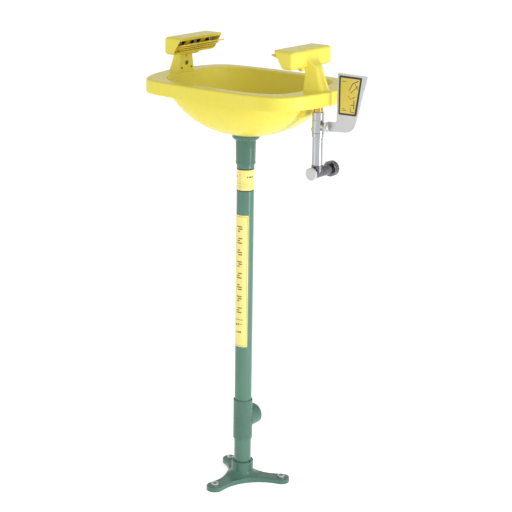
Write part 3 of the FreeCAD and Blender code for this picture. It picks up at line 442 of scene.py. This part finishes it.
def makeCover(word, mirrored):
    v = coverSize
    outline = []
    for z, sign in ((v["low"], -1), (v["low"], 1), (v["high"], 1), (v["high"], -1)):
        half = postSize["half"] - postSize["lean"] * (z - postSize["foot"]) - v["margin"]
        outline.append((v["front"], sign * half, z))
    bm = bmesh.new()
    prism(bm, softCorners(outline, 2.0, True), (v["back"] - v["front"], 0, 0), 0.7)
    store("postCover" + word, bm, "yellowAbs", ["tower_cover" + word], mirrored=mirrored)
    # a shallow dish in the darkest print colour stands in the cover where the drip hole is: painted shade,
    # the cover itself is not cut open
    bm = bmesh.new()
    turned(bm, [(0, 0.9), (v["hole"], 0.9), (v["hole"] + 0.5, 0), (v["hole"] + 1.1, 0),
                (v["hole"] + 1.2, 0.9)],
           (v["front"] - 0.25, 0, v["holeZ"]), (1, 0, 0), 0.1, steps=32)
    store("dripHole" + word, bm, "printDark", mirrored=mirrored)


# spray heads
headSize = {"top": 1108, "low": 1066, "lipX": 135.5, "footX": 162, "backX": 188, "half": 79, "wall": 3,
            "soft": 8.0, "lip": 8, "inset": 10}


chinSize = {"half": 33, "front": 166, "back": 184, "top": 1067, "foot": 1059, "heel": 175, "edge": 1.6}


def slantX(z):
    v = headSize
    return v["lipX"] + (v["footX"] - v["lipX"]) * (v["top"] - z) / (v["top"] - v["low"])


def makeHood(word, mirrored):
    v = headSize
    bm = bmesh.new()
    side = [(v["lipX"], v["top"]), (v["backX"], v["top"]), (v["backX"], v["low"]), (v["footX"], v["low"])]
    prism(bm, [(x, -v["half"], z) for x, z in side], (0, 2 * v["half"], 0))
    bm.normal_update()
    edge = Vector((v["footX"], 0, v["low"])) - Vector((v["lipX"], 0, v["top"]))
    slant = edge.cross((0, 1, 0)).normalized()
    front = max(bm.faces, key=lambda f: abs(f.normal.dot(slant)))
    outline = front.edges[:]
    soft = [e for e in bm.edges if e not in outline]
    bmesh.ops.bevel(bm, geom=soft, offset=v["soft"], affect="EDGES", segments=6, profile=0.5, material=-1,
                    clamp_overlap=True)
    rest = v["half"] - v["wall"]
    cuts = [((0, 0, v["top"] - v["lip"]), (0, 0, 1)), ((0, 0, v["low"] + v["wall"]), (0, 0, 1)),
            ((0, rest, 0), (0, 1, 0)), ((0, -rest, 0), (0, 1, 0))]
    for at, normal in cuts:
        faces = [f for f in bm.faces if abs(f.normal.dot(slant)) > 0.999]
        geom = list({item for f in faces for item in [f, *f.edges, *f.verts]})
        bmesh.ops.bisect_plane(bm, geom=geom, plane_co=at, plane_no=normal)
        bm.normal_update()
    mouth = [f for f in bm.faces if abs(f.normal.dot(slant)) > 0.999 and abs(f.calc_center_median().y) < rest
             and v["low"] + v["wall"] < f.calc_center_median().z < v["top"] - v["lip"]]
    bmesh.ops.delete(bm, geom=mouth, context="FACES")
    bmesh.ops.remove_doubles(bm, verts=bm.verts, dist=0.001)
    bmesh.ops.recalc_face_normals(bm, faces=bm.faces)
    bmesh.ops.solidify(bm, geom=bm.faces[:], thickness=v["wall"])
    c = chinSize
    chin = [(c["front"], c["top"]), (c["back"], c["top"]), (c["back"], c["foot"]), (c["heel"], c["foot"])]
    prism(bm, [(x, -c["half"], z) for x, z in chin], (0, 2 * c["half"], 0), c["edge"], 4)
    store("headHood" + word, bm, "yellowAbs", ["head_hood" + word], mirrored=mirrored, sharp=40)


louvreSize = {"low": 1069.3, "high": 1099.7, "half": 75.7, "thick": 3, "sill": 1087.4, "window": 19,
              "pitch": 57, "tipX": 118, "tipZ": 1095.5, "stepX": 10, "stepZ": 7, "rootZ": 1086.0,
              "rootStep": 4.3, "reach": 70, "shorter": 7.5, "taper": 7, "fin": 4.0, "blades": 4,
              "rootThick": 4.2, "tipThick": 3.0, "edge": 0.9}


def makeLouvre(word, mirrored):
    v = louvreSize
    bm = bmesh.new()

    def slab(y0, y1, z0, z1, edge):
        x0, x1 = slantX(z0) + headSize["inset"], slantX(z1) + headSize["inset"]
        prism(bm, [(x0, y0, z0), (x1, y0, z1), (x1 + v["thick"], y0, z1), (x0 + v["thick"], y0, z0)],
              (0, y1 - y0, 0), edge)

    slab(-v["half"], v["half"], v["low"], v["sill"], 0.6)
    for sign in (-1, 1):
        near, far = sorted((sign * v["window"], sign * (v["pitch"] - v["window"])))
        slab(near, far, v["sill"] - 1, v["high"], 0.8)
    for i in range(v["blades"]):
        reach = v["reach"] - v["shorter"] * i
        tip, tipZ = v["tipX"] + v["stepX"] * i, v["tipZ"] - v["stepZ"] * i
        rootZ = v["rootZ"] - v["rootStep"] * i
        root = slantX(rootZ) + headSize["inset"] + 1.5
        section = [(tip, tipZ), (root, rootZ), (root, rootZ - v["rootThick"]), (tip, tipZ - v["tipThick"])]
        blade = prism(bm, [(x, -reach, z) for x, z in section], (0, 2 * reach, 0))
        for vert in blade:
            if vert.co.x < tip + 1:
                vert.co.y *= 1 - v["taper"] / reach
        bevelSharp(bm, blade, v["edge"], 3)
        if i:
            for fin in (-1, 1):
                y = fin * v["pitch"] / 2
                back, front = root - 2, tip + 6
                prism(bm, [(front, y - v["fin"], tipZ - 3), (back, y - v["fin"], rootZ - 2),
                           (back, y - v["fin"], rootZ + 6), (front, y - v["fin"], tipZ + 5)],
                      (0, 2 * v["fin"], 0), 0.6)
    # the plate takes the darker, more orange yellow, a painted shade
    store("louvre" + word, bm, "yellowLouvre", ["louvre_plate" + word], mirrored=mirrored)


nozzleSize = {"mouth": 155.4, "end": 164.5, "r": 5.5, "neck": 4.8, "bore": 4.0, "z": 1093.2, "pitch": 57}


def makeNozzles(word, mirrored):
    v = nozzleSize
    bm = bmesh.new()
    length = v["end"] - v["mouth"]
    tip = [(v["bore"], 0), (v["r"], 0), (v["r"], 4.2), (v["neck"], 4.8), (v["neck"], length),
           (v["bore"], length)]
    for i in (-1, 0, 1):
        turned(bm, tip, (v["mouth"], i * v["pitch"], v["z"]), (1, 0, 0), 0.5, True, 48)
    store("nozzleTips" + word, bm, "steel", ["nozzles" + word], mirrored=mirrored)


# column: pipes, tee, sleeve and the bushes in the base
pipeSize = {"r": 21.1, "bore": 17.5, "end": 0.8}
bushSize = {"orbit": 100.5, "turns": (25, 145, 265), "bore": 5.5, "r": 7.5, "head": 9.5, "seat": 12,
            "top": 17, "edge": 0.9}
sleeveSize = {"foot": 814, "footR": 23.3, "socket": 21.4, "stop": 862.2, "neck": 873.6, "neckR": 24.3,
              "flange": 33, "top": 887, "bore": 17.3, "edge": 1.4, "gasket": 32.6, "gasketTop": 888.95}
teeSize = {"foot": 110, "top": 213.5, "r": 24, "socket": 21.4, "bore": 17.5, "axis": 162, "branch": 26.5,
           "end": 44, "thread": 19.5, "pitch": 2.3, "web": (132, 138), "seat": 191.5}


def threadPath(start, r, pitch, turns, deep=0.7):
    # ridges of a plain thread, walking in from the mouth
    path = []
    for k in range(turns):
        path += [(r, start - pitch * k), (r - deep, start - pitch * (k + 0.5))]
    return path


def makePipe(name, node, z0, z1):
    v = pipeSize
    bm = bmesh.new()
    wall = [(v["bore"], z0), (v["r"], z0), (v["r"], z1), (v["bore"], z1)]
    turned(bm, wall, (0, 0, 0), (0, 0, 1), v["end"], True)
    store(name, bm, "greenPipe", [node])


def makeBushes():
    v = bushSize
    bm = bmesh.new()
    profile = [(v["bore"], 0), (v["r"], 0), (v["r"], v["seat"]), (v["head"], v["seat"]),
               (v["head"], v["top"]), (v["bore"], v["top"])]
    for turn in v["turns"]:
        angle = math.radians(turn)
        spot = (v["orbit"] * math.cos(angle), v["orbit"] * math.sin(angle), 0)
        turned(bm, profile, spot, (0, 0, 1), v["edge"], True, 48)
    store("boltBushes", bm, "zinc", ["base_bushes"])


def makeTee():
    v = teeSize
    bm = bmesh.new()
    floor, roof = v["web"]
    run = [(0, floor), (v["socket"], floor), (v["socket"], v["foot"]), (v["r"], v["foot"]),
           (v["r"], v["top"]), (v["socket"], v["top"]), (v["socket"], v["seat"]), (v["bore"], v["seat"]),
           (v["bore"], roof), (0, roof)]
    turned(bm, run, (0, 0, 0), (0, 0, 1), 1.1)
    mouth = threadPath(v["end"] - 1, v["thread"], v["pitch"], 8)
    branch = [(v["bore"], 16), (22.5, 2), (v["branch"], 8), (v["branch"], v["end"]),
              (v["thread"] + 1, v["end"])]
    turned(bm, branch + mouth + [(v["bore"], 24)], (0, 0, v["axis"]), (0, 1, 0), 1.0, True)
    store("wasteTee", bm, "greenCast", ["waste_tee"])


def makeSleeve():
    v = sleeveSize
    bm = bmesh.new()
    sleeve = [(v["socket"], v["foot"]), (v["footR"], v["foot"]), (v["neckR"], v["neck"]), (29, 874.4),
              (v["flange"], 879), (v["flange"], v["top"]), (v["bore"], v["top"]), (v["bore"], v["stop"]),
              (v["socket"], v["stop"])]
    turned(bm, sleeve, (0, 0, 0), (0, 0, 1), v["edge"], True)
    bead = [(23.0, 815.5), (23.9, 815.5), (24.0, 819.5), (23.2, 819.5)]
    turned(bm, bead, (0, 0, 0), (0, 0, 1), 0.4, True)
    store("drainSleeve", bm, "greenCast", ["drain_sleeve"])
    bm = bmesh.new()
    low, high = v["top"] + 0.05, v["gasketTop"]
    ring = [(v["bore"], low), (v["gasket"], low), (v["gasket"], high), (v["bore"], high)]
    turned(bm, ring, (0, 0, 0), (0, 0, 1), 0.3, True)
    store("bowlGasket", bm, "rubber", ["flange_gasket"])


def makeColumn():
    makePipe("lowerPipe", "lower_nipple", 14.2, 131.8)
    makePipe("mainPipe", "stand_pipe", 191.6, 861.8)
    makeBushes()
    makeTee()
    makeSleeve()
    print("column built")


# labels on the pipe
labelSize = {"in": 21.14, "out": 21.38, "print": 21.45, "half": 61, "low": 356, "high": 690, "bandLow": 749,
             "bandHigh": 804, "glyphs": 8, "first": 0.10, "step": 0.0878, "rule": 0.79}


def curvedPatch(bm, r0, r1, start, end, z0, z1, index=0):
    # piece of a tube's wall, degrees from -Y towards +X
    known = set(bm.faces)
    ray = Matrix.Rotation(math.radians(start), 3, "Z") @ Vector((0, -1, 0))
    ring = placeRing(bm, [ray * r + Vector((0, 0, z)) for r, z in ((r0, z0), (r1, z0), (r1, z1), (r0, z1))])
    made = bmesh.ops.spin(bm, geom=ring + loopEdges(bm, ring), cent=(0, 0, 0), axis=(0, 0, 1),
                          angle=math.radians(end - start), steps=max(2, round((end - start) / 3)))
    last = [item for item in made["geom_last"] if isinstance(item, bmesh.types.BMEdge)]
    bmesh.ops.contextual_create(bm, geom=loopEdges(bm, ring))
    bmesh.ops.contextual_create(bm, geom=last)
    for face in bm.faces:
        if face not in known:
            face.material_index = index


def makeLabels():
    v = labelSize
    paper, ink = (v["in"], v["out"]), (v["out"] - 0.02, v["print"])
    long = v["high"] - v["low"]
    bm = bmesh.new()
    curvedPatch(bm, *paper, -v["half"], v["half"], v["low"], v["high"])
    for z0, z1 in ((v["low"] + 2.5, v["low"] + 4), (v["high"] - 4, v["high"] - 2.5)):
        curvedPatch(bm, *ink, -v["half"] + 6, v["half"] - 6, z0, z1, 1)
    for edge in (-v["half"] + 6, v["half"] - 10):
        curvedPatch(bm, *ink, edge, edge + 4, v["low"] + 2.5, v["high"] - 2.5, 1)
    for i in range(v["glyphs"]):
        z = v["high"] - long * (v["first"] + v["step"] * i)
        for k in range(3):
            wide = 10 + 5 * ((2 * i + k) % 3)
            turn = 6 * ((i + 2 * k) % 3) - 6
            curvedPatch(bm, *ink, turn - wide, turn + wide, z - 7.5 + 5.6 * k, z - 4.6 + 5.6 * k, 2)
    rule = v["high"] - long * v["rule"]
    curvedPatch(bm, *ink, -30, 30, rule - 0.8, rule + 0.8, 2)
    for i in range(3):
        curvedPatch(bm, *ink, -26 + 20 * i, -14 + 20 * i, rule - 16 + 2 * i, rule - 10, 2)
        curvedPatch(bm, *ink, -22 + 14 * i, -14 + 16 * i, rule - 34, rule - 31 + i, 2)
    store("stripLabel", bm, "labelPaper printTan printBrown", ["label_strip"])
    bm = bmesh.new()
    curvedPatch(bm, *paper, 0, 360, v["bandLow"], v["bandHigh"])
    low, high = v["bandLow"], v["bandHigh"]
    for z0, z1, index in ((low, low + 2.6, 2), (high - 2.6, high, 2), (low + 12, low + 12.8, 1),
                          (low + 19, low + 19.8, 1)):
        curvedPatch(bm, *ink, 0, 360, z0, z1, index)
    for start in (-60, 62, 182):
        for i, wide in enumerate((7, 12, 6, 10)):
            turn = start + 13 * i - 14
            curvedPatch(bm, *ink, turn, turn + wide, high - 21, high - 17.5, 2)
    store("bandLabel", bm, "labelPaper printTan printDark", ["label_band"])
    print("labels built")


# valve and its flag
valveSize = {"x": 208, "stem": 933, "r": 13.75, "foot": 907, "split": 917, "top": 965, "chamber": 10,
             "port": 6.5, "seat": 944.5, "socket": 10.75, "step": 952, "groove": 946.6, "grooveR": 13.25,
             "boss": 8.5, "bossEnd": 17.5, "stemBore": 4.05, "stub": 5, "stubEnd": 16.25, "stubZ": 923,
             "spigot": 9.9, "spigotTop": 921.5, "tube": 12, "tubeBore": 8.5, "tubeFoot": 841, "nut": 16}
flagSize = {"tab": 230.5, "y": 7.0, "thick": 2.5, "low": 921.5, "high": 944.5, "sticker": 6.95, "frame": 4.6,
            "left": 254, "top": 1059, "topRight": 335.1, "turnX": 300.3, "turnZ": 926.2, "bend": 240}


def makeValve():
    v = valveSize
    x, z0, g = v["x"], v["split"], v["groove"]
    bm = bmesh.new()
    shell = [(v["chamber"], z0), (v["r"], z0), (v["r"], g), (v["grooveR"], g + 0.4), (v["grooveR"], g + 1.6),
             (v["r"], g + 2.0), (v["r"], v["top"]), (v["socket"], v["top"]), (v["socket"], v["step"]),
             (v["port"], v["step"]), (v["port"], v["seat"]), (v["chamber"], v["seat"])]
    turned(bm, shell, (x, 0, 0), (0, 0, 1), 0.5, True)
    boss = [(v["stemBore"], 10.4), (v["boss"], 10.4), (v["boss"], v["bossEnd"]),
            (v["stemBore"], v["bossEnd"])]
    turned(bm, boss, (x, 0, v["stem"]), (1, 0, 0), 0.7, True)
    stub = [(0, 15.6), (2.6, 15.6), (3.0, v["stubEnd"]), (v["stub"], v["stubEnd"]), (v["stub"], 11)]
    turned(bm, stub, (x, 0, v["stubZ"]), (-1, 0, 0), 0.5)
    store("valveBody", bm, "chrome", ["valve_body"])
    bm = bmesh.new()
    cap = [(v["port"], v["foot"]), (v["r"], v["foot"]), (v["r"], z0 - 0.3), (v["spigot"], z0 - 0.3),
           (v["spigot"], v["spigotTop"]), (v["port"], v["spigotTop"])]
    turned(bm, cap, (x, 0, 0), (0, 0, 1), 1.2, True)
    store("valveEndCap", bm, "chrome", ["valve_end_cap"])
    bm = bmesh.new()
    prism(bm, hexagon(v["nut"], (x + v["bossEnd"] + 0.1, 0, v["stem"]), (1, 0, 0)), (3.8, 0, 0), 0.6)
    collar = [(v["stemBore"], 0), (6.6, 0), (6.2, 0.5), (v["stemBore"], 0.5)]
    turned(bm, collar, (x + 21.3, 0, v["stem"]), (1, 0, 0), 0.1, True, 48)
    store("packingNut", bm, "chrome", ["packing_nut"])
    bm = bmesh.new()
    tube = [(v["tubeBore"], v["tubeFoot"]), (v["tube"], v["tubeFoot"]), (v["tube"], v["foot"]),
            (v["tubeBore"], v["foot"])]
    turned(bm, tube, (x, 0, 0), (0, 0, 1), 0.5, True)
    store("regulatorTube", bm, "chrome", ["regulator_tube"])
    print("valve built")


def makeFlag():
    v = flagSize
    z0, z1, y = v["low"], v["high"], v["y"]
    bm = bmesh.new()
    outline = [(237, z0 + 0.4), (v["turnX"], v["turnZ"]), (v["topRight"], v["top"]), (v["left"], v["top"]),
               (v["left"], 945), (237, z1 - 0.4)]
    edge = softCorners([(x, y, z) for x, z in outline], [0.3, 24, 5, 4, 21, 0.3], True, 10)
    prism(bm, edge, (0, v["thick"], 0), 0.5)
    x = v["tab"]
    inside, bend = x + v["thick"], v["bend"]
    bend = [(x, -9.5, z0), (inside, -9.5, z0), (inside, y, z0), (bend, y + 0.1, z0), (bend, y + 2.4, z0),
            (x, y + v["thick"], z0)]
    prism(bm, softCorners(bend, [0.4, 0.4, 1.4, 0.3, 0.3, 3.6], True, 6), (0, 0, z1 - z0), 0.5)
    store("flagHandle", bm, "flagSteel", ["flag_handle"], body="valve_lever")
    bm = bmesh.new()
    prism(bm, hexagon(13, (233, 0, valveSize["stem"]), (1, 0, 0)), (4.5, 0, 0), 0.7)
    turned(bm, [(4.1, 0), (5.8, 0), (5.4, 0.4), (4.1, 0.4)], (237.4, 0, valveSize["stem"]), (1, 0, 0), 0.1,
           True, 48)
    store("handleNut", bm, "zinc", ["handle_nut"], body="valve_lever")
    print("flag built")


# bars on the sticker: both ends and the width
stickerBars = {
    "jetLow": (287, 1024, 296, 1039, 1.8), "jetHigh": (296, 1039, 310, 1046, 1.8),
    "jetBack": (291, 1017, 309, 1034, 1.4), "jetSide": (303, 1038, 309, 1027, 1.6),
    "bendLow": (284, 1010, 290, 1003, 1.2), "bendHigh": (290, 1003, 303, 1009, 1.2),
    "stand": (300, 1001, 300, 982, 1.8), "shelf": (291, 990, 300, 990, 1.4),
    "leg": (291, 982, 291, 974, 1.4), "foot": (291, 974, 301, 974, 1.4),
    "ruleTop": (268, 1042, 276, 1042, 1.2), "ruleLow": (268, 976, 280, 976, 1.2),
    "ruleMid": (268, 980, 275, 980, 1.0),
}
stickerSize = {"left": 258.5, "low": 964.5, "lowRight": 307.5, "lowRightZ": 965.5, "topRight": 320.5,
               "top": 1054.5, "base": 0.15, "face": 0.07, "ink": 0.08}


def makeSticker():
    v = flagSize
    y = v["sticker"]
    b = v["frame"]
    bm = bmesh.new()

    def plate(points, soft, at, thick, index):
        known = set(bm.faces)
        ring = softCorners([(x, at, z) for x, z in points], soft, True, 5)
        prism(bm, ring, (0, -thick, 0))
        for face in bm.faces:
            if face not in known:
                face.material_index = index

    def bar(x0, z0, x1, z1, wide):
        along = Vector((x1 - x0, z1 - z0)).normalized() * wide / 2
        across = Vector((-along.y, along.x))
        start, end = Vector((x0, z0)) - along, Vector((x1, z1)) + along
        ends = [start - across, end - across, end + across, start + across]
        plate([(p.x, p.y) for p in ends], 0.4, y - 0.2, stickerSize["ink"], 0)

    k = stickerSize
    left, low, top = k["left"], k["low"], k["top"]
    plate([(left, low), (k["lowRight"], k["lowRightZ"]), (k["topRight"], top), (left, top)], 3.5, y,
          k["base"], 0)
    plate([(left + b, low + b), (k["lowRight"] - b - 0.6, k["lowRightZ"] - 0.1 + b),
           (k["topRight"] - b - 0.8, top - b), (left + b, top - b)], 1.2, y - k["base"], k["face"], 1)
    for marks in stickerBars.values():
        bar(*marks)
    store("flagSticker", bm, "printDark stickerYellow", ["handle_sticker"], body="valve_lever")


# inlet under the valve
inletSize = {"z": 822.5, "r": 12.5, "front": -20, "back": 50, "cap": 15, "union": 18.5, "ribs": 18,
             "steps": 216, "grooves": (-9, 22, 34), "bore": 9.2, "thread": 9.4, "neck": 13.3}


def makeInlet():
    v = inletSize
    x = valveSize["x"]
    bm = bmesh.new()
    run = [(v["bore"], v["front"]), (v["r"], v["front"])]
    for y in v["grooves"]:
        run += [(v["r"], y), (v["r"] - 0.6, y + 0.4), (v["r"] - 0.6, y + 2.0), (v["r"], y + 2.4)]
    run += [(v["r"], v["back"]), (v["bore"], v["back"])]
    turned(bm, run, (x, 0, v["z"]), (0, 1, 0), 0.3, True)
    neck = [(8.6, 9.6), (v["neck"], 3), (v["neck"], 18.5), (8.6, 18.5)]
    turned(bm, neck, (x, 0, v["z"]), (0, 0, 1), 0.5, True)
    # the inlet body takes the darkened chrome, a painted shade
    store("inletBody", bm, "darkChrome", ["inlet_body"])
    bm = bmesh.new()
    front, cap = v["front"], v["cap"]
    turned(bm, [(0, front - 5.5), (8.5, front - 5.5), (9.0, front - 6), (13.2, front - 6), (cap, front - 4.3),
                (cap, front), (0, front)], (x, 0, v["z"]), (0, 1, 0), 0.5)
    store("strainerCap", bm, "flagSteel", ["strainer_cap"])
    bm = bmesh.new()

    def ribbed(r, y, deep):
        points = []
        for i in range(v["steps"]):
            turn = math.tau * i / v["steps"]
            size = r - deep * (0.5 - 0.5 * math.cos(v["ribs"] * turn)) ** 0.6
            points.append((x + size * math.cos(turn), y, v["z"] + size * math.sin(turn)))
        return points

    mouth = [ribbed(r, y, 0) for r, y in threadPath(66, v["thread"], 1.8, 7, 0.5)]
    rings = [ribbed(8.2, 50, 0), ribbed(v["union"] - 1.6, 50, 0), ribbed(v["union"] - 0.2, 51.2, 0.2),
             ribbed(v["union"], 52.4, 0.9), ribbed(v["union"], 63.6, 0.9),
             ribbed(v["union"] - 0.2, 65.2, 0.2), ribbed(v["union"] - 1.4, 66.8, 0),
             ribbed(v["union"] - 3, 67, 0), ribbed(10.2, 67, 0)]
    loft(bm, rings + mouth + [ribbed(8.2, 52.8, 0)], wrap=True)
    # the union takes the darkened chrome too, a painted shade
    store("inletUnion", bm, "darkChrome", ["inlet_union"])
    print("inlet built")


makeColumn()
makeLabels()
makeValve()
makeFlag()
makeSticker()
makeInlet()
makeBowl()
for word, mirrored in (("_right", False), ("_left", True)):
    makePost(word, mirrored)
    makeCover(word, mirrored)
    makeHood(word, mirrored)
    makeLouvre(word, mirrored)
    makeNozzles(word, mirrored)
print("posts and heads built")


# finishes on the nodes that keep their own shape
nodeFinish = {
    "base_flange": "greenCast", "waste_tee": "greenCast", "drain_sleeve": "greenCast",
    "lower_nipple": "greenPipe", "stand_pipe": "greenPipe", "base_bushes": "zinc",
    "flange_gasket": "rubber", "flow_regulator": "rubber", "valve_seats": "ptfe",
    "label_strip": "labelPaper", "label_band": "labelPaper", "handle_sticker": "stickerYellow",
    "bowl": "yellowAbs", "tower": "yellowAbs", "tower_cover": "yellowAbs", "head_hood": "yellowAbs",
    "louvre_plate": "yellowLouvre", "supply_tee": "brass", "crossover_elbow": "brass",
    "supply_nipple": "brass", "tower_nipple": "brass", "rim_locknut": "brass", "head_manifold": "brass",
    "crossover_tube": "copper", "riser_tube": "copper", "valve_body": "chrome", "valve_end_cap": "chrome",
    "packing_nut": "chrome", "regulator_tube": "chrome", "inlet_body": "chrome", "strainer_cap": "chrome",
    "inlet_union": "chrome", "nozzles": "chrome", "cover_screws": "screwSteel",
}
for nodeName, obj in nodes.items():
    plain = nodeName.replace("_left", "").replace("_right", "")
    obj.data.materials.clear()
    obj.data.materials.append(mats[nodeFinish.get(plain, "steel")])
print("nodes finished")


# floor, lamps, camera
def makeFloor():
    bm = bmesh.new()
    bmesh.ops.create_grid(bm, x_segments=4, y_segments=4, size=40.0)
    mesh = bpy.data.meshes.new("studioFloor")
    bm.to_mesh(mesh)
    bm.free()
    floor = bpy.data.objects.new("studioFloor", mesh)
    bpy.context.scene.collection.objects.link(floor)
    mat, tree, shader, coord = newMaterial("studioPale")
    speck = noiseOn(tree, coord, 2.0, 4.0)
    tint = rampOn(tree, speck.outputs["Fac"], (0.3, (0.90, 0.90, 0.90, 1)), (0.7, (0.92, 0.92, 0.92, 1)))
    tree.links.new(tint.outputs["Color"], shader.inputs["Base Color"])
    shader.inputs["Roughness"].default_value = 0.8
    shader.inputs["Emission Color"].default_value = (1, 1, 1, 1)
    shader.inputs["Emission Strength"].default_value = 0.52
    mesh.materials.append(mat)


# azimuth is turned from -Y towards +X, as the camera's is
lamps = {
    "keyLamp": {"azimuth": 62, "far": 2.6, "height": 2.1, "power": 13, "wide": 1.6, "tall": 2.2},
    "leftLamp": {"azimuth": -20, "far": 1.4, "height": 0.78, "power": 1.4, "wide": 0.3, "tall": 1.5},
    "rightLamp": {"azimuth": 97, "far": 1.4, "height": 0.78, "power": 9, "wide": 0.22, "tall": 1.5},
}


def makeLamp(name, values):
    light = bpy.data.lights.new(name, "AREA")
    light.shape = "RECTANGLE"
    light.energy = values["power"]
    light.size = values["wide"]
    light.size_y = values["tall"]
    lamp = bpy.data.objects.new(name, light)
    bpy.context.scene.collection.objects.link(lamp)
    azimuth = math.radians(values["azimuth"])
    lamp.location = (math.sin(azimuth) * values["far"], -math.cos(azimuth) * values["far"], values["height"])
    aim = Vector((0, 0, 0.85)) - lamp.location
    lamp.rotation_euler = aim.to_track_quat("-Z", "Y").to_euler()


def makeWorld():
    world = bpy.data.worlds.new("studioWorld")
    bpy.context.scene.world = world
    world.use_nodes = True
    back = world.node_tree.nodes["Background"]
    back.inputs["Color"].default_value = (1.0, 1.0, 1.0, 1)
    # white at the horizon, dimmer overhead
    tree = world.node_tree
    coord = tree.nodes.new("ShaderNodeTexCoord")
    split = tree.nodes.new("ShaderNodeSeparateXYZ")
    tree.links.new(coord.outputs["Generated"], split.inputs["Vector"])
    fade = rangeOn(tree, split.outputs["Z"], (0.05, 0.75), (0.95, 0.50))
    tree.links.new(fade.outputs["Result"], back.inputs["Strength"])


view = {"azimuth": 37.0, "pitch": 16.0, "roll": 0.75, "lens": 109.4, "distance": 3.6412,
        "height": 1.6281, "sideways": 0.0277}


def makeCamera():
    azimuth = math.radians(view["azimuth"])
    pitch = math.radians(view["pitch"])
    roll = math.radians(view["roll"])
    right = Vector((math.cos(azimuth), math.sin(azimuth), 0))
    ahead = Vector((-math.sin(azimuth), math.cos(azimuth), 0))
    up = Vector((0, 0, 1))
    sight = ahead * math.cos(pitch) - up * math.sin(pitch)
    crown = up * math.cos(pitch) + ahead * math.sin(pitch)
    tiltRight = right * math.cos(roll) + crown * math.sin(roll)
    tiltUp = crown * math.cos(roll) - right * math.sin(roll)
    data = bpy.data.cameras.new("mainCamera")
    data.lens = view["lens"]
    data.sensor_width = 36
    camera = bpy.data.objects.new("mainCamera", data)
    bpy.context.scene.collection.objects.link(camera)
    turn = Matrix((tiltRight, tiltUp, -sight)).transposed().to_4x4()
    place = -ahead * view["distance"] + right * view["sideways"] + up * view["height"]
    camera.matrix_world = Matrix.Translation(place) @ turn
    bpy.context.scene.camera = camera


makeFloor()
for lampName, lampValues in lamps.items():
    makeLamp(lampName, lampValues)
makeWorld()
makeCamera()
bpy.context.scene.view_settings.view_transform = "Standard"
print("stage set")
